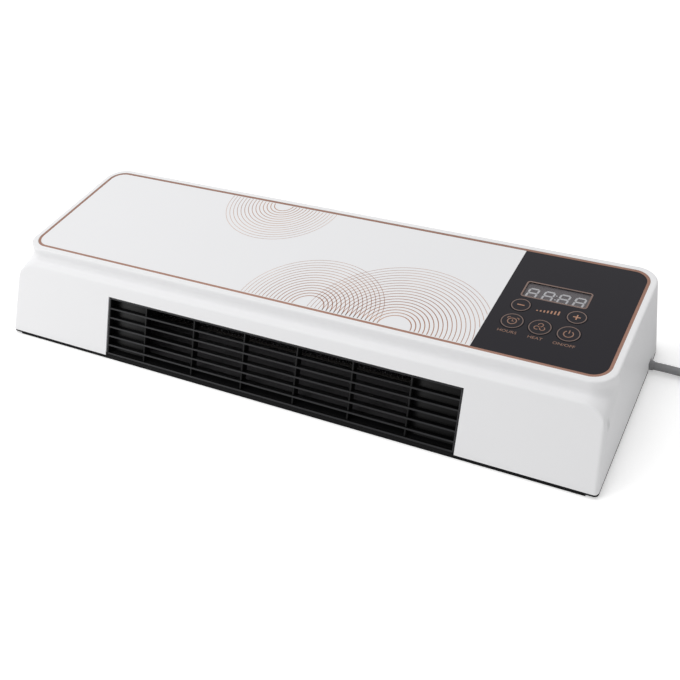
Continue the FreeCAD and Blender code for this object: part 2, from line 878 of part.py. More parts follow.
def duct_roof():
    half = duct_half_width + duct_wall
    roof_plate = box(-half, half, grille_back_y(duct_roof_seat) + duct_wall, roof_back,
                     duct_roof_seat, duct_roof_seat + duct_wall)
    lip = box(-half, half, roof_back - duct_wall, roof_back, duct_roof_seat, cheek_top - 3 * duct_wall)
    body = roof_plate.fuse(lip).removeSplitter()
    return body.cut(rod((cutout_x, cutout_y, 0), Z_AXIS, cutout_radius - 1.0, panel_height))


# Fan, motor and bearing

def mount_places():
    places = []
    for i in range(mount_count):
        angle = math.radians(90 + 360 * i / mount_count)
        places.append((fan_y + mount_circle * math.cos(angle), fan_z + mount_circle * math.sin(angle)))
    return places


def fan_blade(angle):
    """One curved blade, as long as the wheel."""
    tip = fan_radius - blade_thickness
    stations = [(blade_inner_radius, 0.0), ((blade_inner_radius + tip) / 2, 0.66), (tip, 1.0)]

    def side(sign):
        points = []
        for radius, share in stations:
            a = math.radians(angle + share * blade_sweep) + sign * blade_thickness / 2 / radius
            points.append(V(-fan_half, fan_y + radius * math.cos(a), fan_z + radius * math.sin(a)))
        return points

    one, two = side(-1), side(1)
    edges = [
        Part.Arc(*one).toShape(),
        Part.makeLine(one[2], two[2]),
        Part.Arc(two[2], two[1], two[0]).toShape(),
        Part.makeLine(two[0], one[0]),
    ]
    return Part.Face(Part.Wire(edges)).extrude(V(fan_length, 0, 0))


def fan_impeller():
    blades = [fan_blade(360.0 * i / blade_count) for i in range(blade_count)]
    step = (fan_length - fan_disc_thickness) / (fan_disc_count - 1)
    discs = []
    for i in range(fan_disc_count):
        start = (-fan_half + i * step, fan_y, fan_z)
        if i in (0, fan_disc_count - 1):
            discs.append(rod(start, X_AXIS, fan_radius, fan_disc_thickness))
        else:
            discs.append(tube_ring(start, X_AXIS, fan_radius, blade_inner_radius - 1.0, fan_disc_thickness))
    hubs = [
        rod((-fan_half, fan_y, fan_z), X_AXIS, fan_hub_radius, fan_hub_length),
        rod((fan_half - fan_hub_length, fan_y, fan_z), X_AXIS, fan_hub_radius, fan_hub_length),
    ]
    wheel = discs[0].multiFuse(discs[1:] + hubs + blades)
    bores = [
        rod((-fan_half, fan_y, fan_z), X_AXIS, bush_radius + fit_gap, fan_hub_length),
        rod((fan_half - fan_hub_length, fan_y, fan_z), X_AXIS, stub_radius + fit_gap, fan_hub_length),
    ]
    return wheel.cut(bores)


def impeller_bush():
    return tube_ring((-fan_half, fan_y, fan_z), X_AXIS, bush_radius, motor_shaft_radius + fit_gap,
                     fan_hub_length)


def stub_shaft():
    return rod((fan_half - fan_hub_length, fan_y, fan_z), X_AXIS, stub_radius, fan_hub_length + stub_reach())


def stub_reach():
    return duct_half_width - fan_half + bearing_length - grommet_lip / 2


def bearing_bush():
    start = (duct_half_width - grommet_lip, fan_y, fan_z)
    return tube_ring(start, X_AXIS, bearing_radius, stub_radius + fit_gap, bearing_length)


def bearing_grommet():
    lips = [
        rod((duct_half_width - grommet_lip, fan_y, fan_z), X_AXIS, grommet_flange, grommet_lip),
        rod((duct_half_width, fan_y, fan_z), X_AXIS, grommet_radius, duct_wall),
        rod((duct_half_width + duct_wall, fan_y, fan_z), X_AXIS, grommet_flange, grommet_lip),
    ]
    body = lips[0].multiFuse(lips[1:])
    return body.cut(rod((0, fan_y, fan_z), X_AXIS, bearing_radius, base_length))


def motor_face():
    return -duct_half_width - duct_wall - mount_length


def motor_can():
    face = motor_face()
    can = rod((face - motor_length, fan_y, fan_z), X_AXIS, motor_radius, motor_length)
    can = can.cut(rod((face - motor_length + motor_wall, fan_y, fan_z), X_AXIS, motor_radius - motor_wall,
                      motor_length - 2 * motor_wall))
    cuts = [rod((face - 2 * motor_length, fan_y, fan_z), X_AXIS, motor_bearing_radius, 3 * motor_length)]
    cuts += [rod((face - motor_wall, y, z), X_AXIS, screw_shank + screw_clearance, motor_wall)
             for y, z in mount_places()]
    return can.cut(cuts)


def motor_bearings():
    face = motor_face()
    starts = (face - motor_bearing_length, face - motor_length)
    return group([tube_ring((x, fan_y, fan_z), X_AXIS, motor_bearing_radius, motor_shaft_radius + fit_gap,
                            motor_bearing_length) for x in starts])


def motor_stator():
    middle = motor_face() - motor_length / 2
    core = tube_ring((middle - stator_length / 2, fan_y, fan_z), X_AXIS, motor_radius - motor_wall,
                     stator_inner_radius, stator_length)
    coils = []
    for i in range(4):
        angle = math.radians(45 + 90 * i)
        radius = (motor_radius - motor_wall + stator_inner_radius) / 2
        coils.append(rod((middle - stator_length / 2 - 2.0, fan_y + radius * math.cos(angle),
                          fan_z + radius * math.sin(angle)), X_AXIS, 3.2, stator_length + 4.0))
    return core.multiFuse(coils)


def motor_rotor():
    middle = motor_face() - motor_length / 2
    return tube_ring((middle - rotor_length / 2, fan_y, fan_z), X_AXIS, stator_inner_radius - rotor_gap,
                     motor_shaft_radius + fit_gap, rotor_length)


def motor_shaft():
    back = motor_face() - motor_length - 2.0
    return rod((back, fan_y, fan_z), X_AXIS, motor_shaft_radius, -fan_half + fan_hub_length - back)


def motor_mounts():
    start = motor_face()
    return group([tube_ring((start, y, z), X_AXIS, mount_radius, screw_shank + screw_clearance, mount_length)
                  for y, z in mount_places()])


def motor_screws():
    seat = -duct_half_width
    length = duct_wall + mount_length + 2 * motor_wall
    return group([screw((seat, y, z), X_AXIS * -1, screw_shank, screw_head, screw_head_height, length)
                  for y, z in mount_places()])


# Heater bank

def heater_middle_y():
    return heater_back - heater_depth / 2


def heater_top():
    return duct_roof_seat - heater_clearance


def heater_frame():
    outer = box(-heater_half_length, heater_half_length, heater_back - heater_depth, heater_back,
                duct_floor, heater_top())
    inner_half = heater_half_length - heater_end
    inner = box(-inner_half, inner_half, heater_back - heater_depth, heater_back,
                duct_floor + heater_rail, heater_top() - heater_rail)
    return outer.cut(inner)


def fin_height():
    room = heater_top() - duct_floor - 2 * heater_rail
    return (room - (fin_rows - 1) * element_height) / fin_rows


def fin_row(bottom):
    """A strip folded to and fro between two heating elements."""
    length = 2 * (heater_half_length - heater_end)
    folds = int(length / fin_pitch)
    first = -folds * fin_pitch / 2
    low, high = bottom, bottom + fin_height()
    lower, upper = [], []
    for i in range(2 * folds + 1):
        x = first + i * fin_pitch / 2
        z = low if i % 2 == 0 else high
        shift = fin_thickness
        lower.append((x, z if z == low else z - shift))
        upper.append((x, z + shift if z == low else z))
    corners = [V(x, heater_back - heater_depth + 1.0, z) for x, z in lower + upper[::-1]]
    face = Part.Face(Part.makePolygon(corners + corners[:1]))
    return face.extrude(V(0, heater_depth - 2.0, 0))


def heater_fins():
    step = fin_height() + element_height
    return group([fin_row(duct_floor + heater_rail + i * step) for i in range(fin_rows)])


def heater_elements():
    half = heater_half_length - heater_end
    elements = []
    for i in range(fin_rows - 1):
        z = duct_floor + heater_rail + fin_height() + i * (fin_height() + element_height)
        elements.append(box(-half, half, heater_back - heater_depth + 0.5, heater_back - 0.5, z,
                            z + element_height))
    return group(elements)


def heater_terminals():
    y = heater_middle_y()
    return group([box(heater_half_length, heater_half_length + terminal_length, y - terminal_width / 2,
                      y + terminal_width / 2, z - terminal_thickness / 2, z + terminal_thickness / 2)
                  for z in terminal_heights])


def thermal_cutout():
    y = cutout_y
    seat = duct_roof_seat + duct_wall
    cup = rod((cutout_x, y, duct_roof_seat), Z_AXIS, cutout_radius - 1.3, duct_wall)
    flange = rod((cutout_x, y, seat), Z_AXIS, cutout_radius + 0.5, 1.2)
    body = rod((cutout_x, y, seat), Z_AXIS, cutout_radius - 0.5, 6.0)
    blades = [box(cutout_x + s - 0.4, cutout_x + s + 0.4, y - 3.1, y + 3.1, seat + 6.0, seat + 11.0)
              for s in (-4.5, 4.5)]
    return cup.multiFuse([flange, body] + blades)


# Electrics on the power board

def power_board_top():
    return casing_bottom + power_board_lift + board_thickness


def power_board():
    board = box(power_board_left, power_board_right, power_board_front, power_board_back,
                casing_bottom + power_board_lift, power_board_top())
    return board.cut([rod((x, y, 0), Z_AXIS, screw_shank + screw_clearance, panel_height)
                      for x, y in power_posts])


def on_power_board(x, y, length, depth, height):
    """A block on the board, placed from the board's left front corner."""
    x0, y0 = power_board_left + x, power_board_front + y
    return box(x0, x0 + length, y0, y0 + depth, power_board_top(), power_board_top() + height)


relay_size = (19.0, 15.5, 15.0)
relay_first = (11.0, 5.0)
relay_pitch = 22.0
terminal_block_place = (8.0, 70.0)
terminal_block_size = (30.0, 12.0, 14.0)


def relays():
    return group([on_power_board(relay_first[0] + i * relay_pitch, relay_first[1], *relay_size)
                  for i in range(2)])


def filter_capacitor():
    return on_power_board(10.0, 50.0, 18.0, 8.5, 15.0)


def supply_transformer():
    core = on_power_board(40.0, 34.0, 22.0, 16.0, 18.0)
    winding = on_power_board(44.0, 31.0, 14.0, 22.0, 14.0)
    return core.fuse(winding)


def terminal_block():
    block = on_power_board(*terminal_block_place, *terminal_block_size)
    cuts = []
    for i in range(3):
        x = power_board_left + terminal_block_place[0] + terminal_block_size[0] * (i + 0.5) / 3
        y = power_board_front + terminal_block_place[1] + terminal_block_size[1] / 2
        cuts.append(rod((x, y, power_board_top() + terminal_block_size[2] - 3.0), Z_AXIS, 2.4, 3.0))
    return block.cut(cuts)


def inner_screws():
    """The screws of both boards, the duct's tabs and the cord clamp."""
    pieces = [screw((x, y, power_board_top()), Z_AXIS * -1, screw_shank, screw_head, screw_head_height,
                    board_screw_length) for x, y in power_posts]
    pieces += [screw((x, y, control_board_top - board_thickness), Z_AXIS, screw_shank, screw_head,
                     screw_head_height,
                     board_screw_length) for x, y in control_posts]
    pieces += [screw((x, y, duct_floor), Z_AXIS * -1, screw_shank, screw_head, screw_head_height,
                     duct_wall + plate_thickness) for x, y in scroll_tabs]
    pieces += [screw((clamp_x, exit_y + side * clamp_post_offset(), clamp_seat() + clamp_thickness),
                     Z_AXIS * -1,
                     screw_shank, screw_head, screw_head_height, board_screw_length) for side in (-1, 1)]
    return group(pieces)


def inner_wiring():
    """The three heater leads and the motor's lead."""
    end_x = heater_half_length + terminal_length
    y = heater_middle_y()
    relay_back = power_board_front + relay_first[1] + relay_size[1]
    low, middle, high = terminal_heights
    leads = []
    for z, i in ((low, 0), (middle, 1)):
        x = power_board_left + relay_first[0] + i * relay_pitch + relay_size[0] / 2
        leads.append(tube("heater_lead", [(end_x, y, z), (x, y, z), (x, relay_back, z)], wire_radius))
    block_x = power_board_left + terminal_block_place[0] + terminal_block_size[0] / 6
    block_y = power_board_front + terminal_block_place[1] + terminal_block_size[1] / 2
    block_top = power_board_top() + terminal_block_size[2] - 3.0
    leads.append(tube("common_lead", [(end_x, y, high), (block_x, y, high), (block_x, block_y, high),
                                      (block_x, block_y, block_top)], wire_radius))
    back = motor_face() - motor_length
    ride = duct_roof_seat + duct_wall + wire_radius + 0.2
    start_y, start_z = fan_y - 0.5 * motor_radius, fan_z + 0.6 * motor_radius
    turn_x = back - motor_length / 2
    run_y = cutout_y - cutout_radius - 4 * wire_radius
    drop_x = power_board_left + relay_first[0] - 4 * wire_radius
    route = [
        (back, start_y, start_z),
        (turn_x, start_y, start_z),
        (turn_x, run_y, ride),
        (drop_x, run_y, ride),
        (drop_x, run_y, power_board_top()),
    ]
    leads.append(tube("motor_lead", route, wire_radius))
    return group(leads)


# Mains cord and what holds it

def gland_form(gap):
    """The tapered strain relief in the base's right end."""
    return Part.makeCone(gland_big_radius + gap, gland_small_radius + gap, gland_length,
                         V(gland_end - gland_length, exit_y, exit_z), X_AXIS)


def gland_head(gap):
    x = gland_end - gland_length
    half = gland_head_half + gap
    bottom = gland_head_bottom - gap
    return box(x - gland_head_length - gap, x + gap, exit_y - half, exit_y + half, bottom,
               gland_head_top + gap)


def gland_way():
    """The groove below the gland, open to the back of the plate."""
    x = gland_end - gland_length
    half = gland_small_radius + gland_gap
    return box(x, base_length, exit_y - half, exit_y + half, 0, exit_z)


def cord_gland():
    return gland_form(0).fuse(gland_head(0))


def clamp_post_offset():
    return clamp_half_span - clamp_post_radius - 0.5


def clamp_seat():
    return inner_lead_z + cord_radius - 0.4


def cord_clamp():
    bar = box(clamp_x - clamp_width / 2, clamp_x + clamp_width / 2, exit_y - clamp_half_span,
              exit_y + clamp_half_span,
              clamp_seat(), clamp_seat() + clamp_thickness)
    cuts = [rod((clamp_x - clamp_width, exit_y, inner_lead_z), X_AXIS, cord_radius + fit_gap,
                2 * clamp_width)]
    cuts += [rod((clamp_x, exit_y + side * clamp_post_offset(), 0), Z_AXIS, screw_shank + screw_clearance,
                 panel_height)
             for side in (-1, 1)]
    return bar.cut(cuts)


def inner_lead():
    start_x = gland_end - gland_length - gland_head_length
    block_x = power_board_left + terminal_block_place[0] + terminal_block_size[0] / 2
    block_back = power_board_front + terminal_block_place[1] + terminal_block_size[1]
    block_z = power_board_top() + cord_radius + 2.0
    route = [
        (start_x, exit_y, inner_lead_z),
        (clamp_x - clamp_width, exit_y, inner_lead_z),
        (block_x + 6.0, exit_y - 1.0, inner_lead_z + 3.0),
        (block_x, exit_y - 8.0, block_z),
        (block_x, block_back, block_z),
    ]
    return tube("inner_lead", route, cord_radius)


def power_cord():
    start = (gland_end, exit_y, exit_z)
    heights = (exit_z, cord_floor, cord_floor)
    bends = [(right_end + x, exit_y + y, z) for x, y, z in zip(cord_reach, cord_drift, heights)]
    end = (coil_x - cord_diameter, coil_start_y, cord_floor)
    return tube("power_cord", [start] + bends + [end], cord_radius)


def cord_tail():
    start = (coil_x + cord_diameter, coil_start_y, coil_end_z)
    bends = [(coil_x + tail_reach[0], coil_start_y, coil_end_z), (coil_x + tail_reach[1], plug_y, plug_z)]
    return tube("cord_tail", [start] + bends + [(plug_x, plug_y, plug_z)], cord_radius)


def coil_point(turn):
    """Centre of the cord after some turns: in along the floor, up a layer, and out again."""
    half_band = coil_pitch * coil_turns / coil_layers / 2
    per_layer = coil_turns / coil_layers
    layer = min(int(turn / per_layer), coil_layers - 1)
    within = turn - layer * per_layer
    inward = within if layer % 2 == 0 else per_layer - within
    radius = coil_middle_radius + half_band - coil_pitch * inward
    height = cord_floor
    for k in range(1, coil_layers):
        climb = (turn - k * per_layer) / 0.5
        height += coil_pitch * (1 + math.sin(math.pi * max(-0.5, min(0.5, climb)))) / 2
    angle = 2 * math.pi * turn - math.pi / 2
    return V(coil_x + radius * math.cos(angle), coil_y + radius * math.sin(angle), height)


def biarc(start, start_way, end, end_way):
    """Two arcs that leave start and reach end in the given directions."""
    chord = end - start
    ways = start_way + end_way
    spread = 2 * (1 - start_way.dot(end_way))
    along = chord.dot(ways)
    reach = (-along + math.sqrt(along ** 2 + spread * chord.dot(chord))) / spread
    joint = (start + end + (start_way - end_way) * reach) * 0.5

    def arc(a, way, b):
        w = b - a
        side = w - way * w.dot(way)
        radius = w.dot(w) / (2 * side.Length)
        half_turn = math.atan2(side.Length, w.dot(way))
        bow = side.normalize() * (radius * (1 - math.cos(half_turn)))
        mid = a + way * (radius * math.sin(half_turn)) + bow
        return a, mid, b

    first = arc(start, start_way, joint)
    second = arc(end, end_way * -1, joint)
    return [Part.Arc(*first).toShape(), Part.Arc(second[2], second[1], second[0]).toShape()]


def cord_coil():
    quarters = int(round(4 * coil_turns))
    points = [coil_point(i / 4) for i in range(quarters + 1)]
    small = 1e-4
    ways = [(coil_point(i / 4 + small) - coil_point(i / 4 - small)).normalize() for i in range(quarters + 1)]
    ways[0] = V(1, 0, 0)
    ways[-1] = V(1, 0, 0)
    lead_in = points[0] - X_AXIS * cord_diameter
    lead_out = points[-1] + X_AXIS * cord_diameter
    edges = [Part.makeLine(lead_in, points[0])]
    for i in range(quarters):
        edges += biarc(points[i], ways[i], points[i + 1], ways[i + 1])
    edges.append(Part.makeLine(points[-1], lead_out))
    path = Part.Wire(edges)
    profile = Part.Wire(Part.makeCircle(cord_radius, lead_in, X_AXIS))
    solid = path.makePipeShell([profile], True, False)
    expected = math.pi * cord_radius ** 2 * path.Length
    line = path.discretize(600)
    step = path.Length / (len(line) - 1)
    skip = int(4 * cord_diameter / step)
    gap = min(a.distanceToPoint(b) for i, a in enumerate(line) for b in line[i + skip:]) - cord_diameter
    print("cord_coil length", round(path.Length, 1), "least gap to itself", round(gap, 2),
          "volume over section times length", round(solid.Volume / expected, 4))
    return solid


def cord_tie():
    """A strap round the coil's turns on the side away from the heater's front."""
    half_band = coil_pitch * coil_turns / coil_layers / 2 + cord_radius + tie_gap
    y0 = coil_y + coil_middle_radius - half_band
    y1 = coil_y + coil_middle_radius + half_band
    z0 = cord_floor - cord_radius - tie_gap
    z1 = coil_end_z + cord_radius + tie_gap
    x0, x1 = coil_x - tie_width / 2, coil_x + tie_width / 2
    t = tie_thickness
    return box(x0, x1, y0 - t, y1 + t, z0 - t, z1 + t).cut(box(x0, x1, y0, y1, z0, z1))


def plug_section(x, width, height):
    radius = min(width, height) / 2 * 0.98
    w, h = width / 2 - radius, height / 2 - radius
    edges = []
    corner_signs = [(1, -1, -90), (1, 1, 0), (-1, 1, 90), (-1, -1, 180)]
    arcs = []
    for sy, sz, first in corner_signs:
        points = []
        for step in (0, 45, 90):
            a = math.radians(first + step)
            points.append(V(x, plug_y + sy * w + radius * math.cos(a),
                            plug_z + sz * h + radius * math.sin(a)))
        arcs.append(points)
    for i, points in enumerate(arcs):
        edges.append(Part.Arc(*points).toShape())
        edges.append(Part.makeLine(points[2], arcs[(i + 1) % 4][0]))
    return Part.Wire(edges)


def plug_body():
    boot = Part.makeCone(plug_boot_radius, plug_neck_radius, plug_boot_length, V(plug_x, plug_y, plug_z),
                         X_AXIS)
    x = plug_x + plug_boot_length
    neck = 2 * plug_neck_radius
    sections = [
        plug_section(x, 1.25 * neck, 1.1 * neck),
        plug_section(x + 0.5 * plug_length, 0.86 * plug_width, 0.9 * plug_height),
        plug_section(x + plug_length, plug_width, plug_height),
    ]
    return boot.fuse(Part.makeLoft(sections, True, True))


def plug_pins():
    x = plug_x + plug_boot_length + plug_length
    pins = []
    for side in (-1, 1):
        start = (x, plug_y + side * pin_spacing / 2, plug_z)
        tip = Part.makeSphere(pin_radius, V(x + pin_length - pin_radius, start[1], plug_z))
        pins.append(rod(start, X_AXIS, pin_radius, pin_length - pin_radius).fuse(tip))
    return group(pins)


def build():
    nodes = {
        "rear_plate": rear_plate(),
        "front_casing": front_casing(),
        "casing_screws": casing_screws(),
        "copper_trim": copper_trim(),
        "decor_panel": decor_panel(),
        "control_panel": control_panel(),
        "display_window": display_window(),
        "display_module": display_module(),
        "control_board": control_board(),
        "switch_bodies": switch_bodies(),
        "ir_receiver": ir_receiver(),
        "outlet_grille": outlet_grille(),
        "fan_scroll": fan_scroll(),
        "duct_roof": duct_roof(),
        "fan_impeller": fan_impeller(),
        "impeller_bush": impeller_bush(),
        "stub_shaft": stub_shaft(),
        "bearing_bush": bearing_bush(),
        "bearing_grommet": bearing_grommet(),
        "motor_can": motor_can(),
        "motor_bearings": motor_bearings(),
        "motor_stator": motor_stator(),
        "motor_rotor": motor_rotor(),
        "motor_shaft": motor_shaft(),
        "motor_mounts": motor_mounts(),
        "motor_screws": motor_screws(),
        "heater_frame": heater_frame(),
        "heater_fins": heater_fins(),
        "heater_elements": heater_elements(),
        "heater_terminals": heater_terminals(),
        "thermal_cutout": thermal_cutout(),
        "power_board": power_board(),
        "relays": relays(),
        "filter_capacitor": filter_capacitor(),
        "supply_transformer": supply_transformer(),
        "terminal_block": terminal_block(),
        "inner_screws": inner_screws(),
        "inner_wiring": inner_wiring(),
        "inner_lead": inner_lead(),
        "cord_clamp": cord_clamp(),
        "cord_gland": cord_gland(),
        "power_cord": power_cord(),
        "cord_coil": cord_coil(),
        "cord_tie": cord_tie(),
        "cord_tail": cord_tail(),
        "plug_body": plug_body(),
        "plug_pins": plug_pins(),
    }
    for name, x, y, ring in keys:
        nodes["key_" + name] = key_cap(x, y, ring)
        nodes["plunger_" + name] = key_plunger(x, y)
    return nodes


os.makedirs("parts", exist_ok=True)
for node, shape in build().items():
    shape.exportStep(os.path.join("parts", node + ".step"))
    print(node, len(shape.Solids), round(shape.Volume, 1), shape.isValid())
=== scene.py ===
# %% [markdown]
# A wall-mounted fan heater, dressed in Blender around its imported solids. It could be modelled by eye
# from the start, but then nothing would meet the parts that move. So the solids come in first, as a
# fixed frame in metres, and every piece made here is placed by the same numbers, in millimetres. The
# box round the solids is kept, because nothing made here may grow past it.

import math

import bmesh
import bpy
import numpy as np
from mathutils import Matrix, Vector


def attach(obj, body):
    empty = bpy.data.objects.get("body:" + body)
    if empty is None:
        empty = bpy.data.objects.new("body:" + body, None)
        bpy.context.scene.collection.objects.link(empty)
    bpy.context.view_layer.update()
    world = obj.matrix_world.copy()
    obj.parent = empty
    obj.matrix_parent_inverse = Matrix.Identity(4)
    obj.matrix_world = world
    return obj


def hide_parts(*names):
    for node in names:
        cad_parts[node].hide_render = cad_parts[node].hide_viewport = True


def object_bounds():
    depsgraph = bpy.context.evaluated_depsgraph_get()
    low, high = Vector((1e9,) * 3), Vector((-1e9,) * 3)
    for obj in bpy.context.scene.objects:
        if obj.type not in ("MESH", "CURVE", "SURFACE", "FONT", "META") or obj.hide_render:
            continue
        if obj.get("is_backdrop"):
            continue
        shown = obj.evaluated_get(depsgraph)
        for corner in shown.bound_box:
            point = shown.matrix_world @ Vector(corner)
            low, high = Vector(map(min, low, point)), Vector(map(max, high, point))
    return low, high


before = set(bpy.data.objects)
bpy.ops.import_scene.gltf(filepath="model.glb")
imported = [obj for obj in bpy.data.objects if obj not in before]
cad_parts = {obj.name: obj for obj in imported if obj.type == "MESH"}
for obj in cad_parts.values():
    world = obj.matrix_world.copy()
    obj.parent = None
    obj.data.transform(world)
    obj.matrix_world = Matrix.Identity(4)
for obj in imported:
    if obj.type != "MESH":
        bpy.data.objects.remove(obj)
cad_box = [list(corner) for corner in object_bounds()]
MM = 0.001


def solid_box(name):
    """Low corner, high corner and middle of a solid, in mm to the hundredth."""
    points = np.array([vertex.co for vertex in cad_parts[name].data.vertices], float) / MM
    low, high = points.min(0), points.max(0)
    return low.round(2), high.round(2), ((low + high) / 2).round(2)


print("solids:", len(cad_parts), "box:", cad_box)

# %% [markdown]
# The photograph looks down on the heater from the front and a little from the right. A camera is a
# place, a turn and a focal length. They could be found by moving the view about. Here they were
# solved from the corners of the panel, the grille and the base line, so that the render can be laid
# over the photograph.

# %% Camera
CAMERA_PLACE = (0.337226, -0.500617, 0.496298)
CAMERA_TURN = (49.8838, 6.2079, 27.1772)
FOCAL_LENGTH = 52.556
SENSOR_WIDTH = 36.0


def put_in_scene(name, data):
    thing = bpy.data.objects.new(name, data)
    bpy.context.scene.collection.objects.link(thing)
    return thing


lens = bpy.data.cameras.new("front_camera")
lens.lens = FOCAL_LENGTH
lens.sensor_width = SENSOR_WIDTH
camera = put_in_scene("front_camera", lens)
camera.location = CAMERA_PLACE
camera.rotation_euler = [math.radians(turn) for turn in CAMERA_TURN]
bpy.context.scene.camera = camera
bpy.context.scene.view_settings.view_transform = "Standard"
print("camera at", [round(c, 3) for c in camera.location])

# %% [markdown]
# Floor, sky and every finish are trees of nodes. Each node could be made and wired line by line,
# which is long and hard to read. These helpers make a node in one line instead: a plain value goes
# on its input, and another node's output becomes a link.

# %% Helpers for nodes
def set_inputs(tree, node, inputs):
    for label, value in inputs.items():
        if isinstance(value, bpy.types.NodeSocket):
            tree.links.new(value, node.inputs[label])
        else:
            node.inputs[label].default_value = value


def add_node(tree, kind, inputs=None, operation=None):
    """Makes a node and gives its outputs."""
    node = tree.nodes.new(kind)
    if operation:
        node.operation = operation
    set_inputs(tree, node, inputs or {})
    return node.outputs


def math_node(tree, operation, *values):
    return add_node(tree, "ShaderNodeMath", dict(enumerate(values)), operation)[0]


print("helpers for nodes ready")

# %% [markdown]
# The heater lies on plain white. The floor could be left out under a white sky, but then the heater
# would float. So the floor is a real surface that catches a soft shadow, and a little glow that only
# the camera sees lifts it to white.

# %% Floor
FLOOR_HALF = 8.0
FLOOR_GLOW = 0.32


def floor_white():
    material = bpy.data.materials.new("floor_white")
    material.use_nodes = True
    tree = material.node_tree
    seen = add_node(tree, "ShaderNodeLightPath")["Is Camera Ray"]
    set_inputs(tree, tree.nodes["Principled BSDF"], {
        "Base Color": (0.95, 0.95, 0.95, 1),
        "Roughness": 0.9,
        "Specular IOR Level": 0.0,
        "Emission Color": (1, 1, 1, 1),
        "Emission Strength": math_node(tree, "MULTIPLY", seen, FLOOR_GLOW),
    })
    return material


sheet = bpy.data.meshes.new("floor")
corners = [(x * FLOOR_HALF, y * FLOOR_HALF, 0) for x, y in ((-1, -1), (1, -1), (1, 1), (-1, 1))]
sheet.from_pydata(corners, [], [(0, 1, 2, 3)])
sheet.materials.append(floor_white())
floor = put_in_scene("floor", sheet)
floor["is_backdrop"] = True
print("floor", 2 * FLOOR_HALF, "m wide")

# %% [markdown]
# A white room lights the heater from all sides. A sky that is as bright as it looks would light it
# flat and too strongly. So the sky is white where the camera or a reflection looks at it, and dimmer
# as a light, which leaves room for lamps.

# %% Sky
SKY_AS_LIGHT = 0.58


def white_room():
    world = bpy.data.worlds.new("white_room")
    world.use_nodes = True
    tree = world.node_tree
    ray = add_node(tree, "ShaderNodeLightPath")
    seen = math_node(tree, "MAXIMUM", ray["Is Camera Ray"], ray["Is Glossy Ray"])
    seen = math_node(tree, "MAXIMUM", seen, ray["Is Transmission Ray"])
    level = {"Value": seen, "To Min": SKY_AS_LIGHT, "To Max": 1.0}
    strength = add_node(tree, "ShaderNodeMapRange", level)["Result"]
    set_inputs(tree, tree.nodes["Background"], {"Color": (1, 1, 1, 1), "Strength": strength})
    return world


bpy.context.scene.world = white_room()
print("sky as a light:", SKY_AS_LIGHT)

# %% [markdown]
# Two lamps give the heater its shape. A point of light would throw hard shadows, so both are wide
# area lamps that look at the heater. The large one overhead lights the top. The small one in front
# on the left lets the leaning front fade to the right and leaves the right end in half shade.

# %% Lamps
LAMPS = (
    # name, place, size, power
    ("overhead_lamp", (-0.95, 0.35, 2.35), 1.8, 25.2),
    ("front_lamp", (-0.95, -0.95, 0.55), 0.7, 4.6),
)


def soft_lamp(name, place, size, power):
    lamp = bpy.data.lights.new(name, "AREA")
    lamp.energy = power
    lamp.size = size
    holder = put_in_scene(name, lamp)
    holder.location = place
    holder.rotation_euler = Vector(place).to_track_quat("Z", "Y").to_euler()


for row in LAMPS:
    soft_lamp(*row)
print("lamps:", [row[0] for row in LAMPS])

# %% [markdown]
# A surface of the heater is never one flat tone: colour and gloss drift a little over it. Each finish
# could have its own nodes for that, but the same few do for all. These helpers give a shader group
# the inputs and outputs that every surface has, and let its tone and gloss swing with a pattern.

# %% Helpers for shader groups
def surface_group(name, label, kind, value):
    """A group with the inputs and outputs of every surface, and one input for its own pattern."""
    tree = bpy.data.node_groups.new(name, "ShaderNodeTree")
    inputs = (
        ("Tone", "Color", (0.7, 0.7, 0.7, 1)),
        ("Tone Drift", "Float", 0.05),
        ("Gloss", "Float", 0.4),
        ("Gloss Drift", "Float", 0.1),
        (label, kind, value),
    )
    for socket, form, preset in inputs:
        made = tree.interface.new_socket(socket, in_out="INPUT", socket_type="NodeSocket" + form)
        made.default_value = preset
    for socket, form in (("Color", "Color"), ("Roughness", "Float"), ("Height", "Float")):
        tree.interface.new_socket(socket, in_out="OUTPUT", socket_type="NodeSocket" + form)
    return tree, tree.nodes.new("NodeGroupInput").outputs


def noise(tree, place, scale, detail):
    return add_node(tree, "ShaderNodeTexNoise", {"Vector": place, "Scale": scale, "Detail": detail})["Fac"]


def swing(tree, mask, amount):
    """Turns a mask round one half into a swing round zero."""
    return math_node(tree, "MULTIPLY", math_node(tree, "SUBTRACT", mask, 0.5), amount)


def surface_outputs(tree, given, tone_mask, gloss_mask):
    """Lets tone and gloss go up and down with their masks."""
    value = math_node(tree, "MULTIPLY", swing(tree, tone_mask, given["Tone Drift"]), 2.0)
    value = math_node(tree, "ADD", value, 1.0)
    tone = add_node(tree, "ShaderNodeHueSaturation", {"Value": value, "Color": given["Tone"]})["Color"]
    gloss = math_node(tree, "ADD", given["Gloss"], swing(tree, gloss_mask, given["Gloss Drift"]))
    add_node(tree, "NodeGroupOutput", {"Color": tone, "Roughness": gloss, "Height": gloss_mask})


print("helpers for shader groups ready")

# %% [markdown]
# Most of the heater is moulded plastic. The moulding tool leaves a fine grain that breaks up the
# gloss, and the colour drifts over a hand's breadth. A picture of plastic could be laid on, but it
# would stretch at the edges. A group of two noises, one fine and one broad, fits any shape. It puts
# out a colour, a roughness and a height, and the shader itself stays in the material.

# %% Shader group for mouldings
BROAD_DRIFT = 14.0


def moulded_surface():
    tree, given = surface_group("moulded_surface", "Grain Scale", "Float", 900.0)
    place = add_node(tree, "ShaderNodeTexCoord")["Object"]
    fine = noise(tree, place, given["Grain Scale"], 2.0)
    broad = noise(tree, place, BROAD_DRIFT, 3.0)
    surface_outputs(tree, given, broad, fine)
    return tree


MOULDED = moulded_surface()
print("group", MOULDED.name, "with", len(MOULDED.nodes), "nodes")

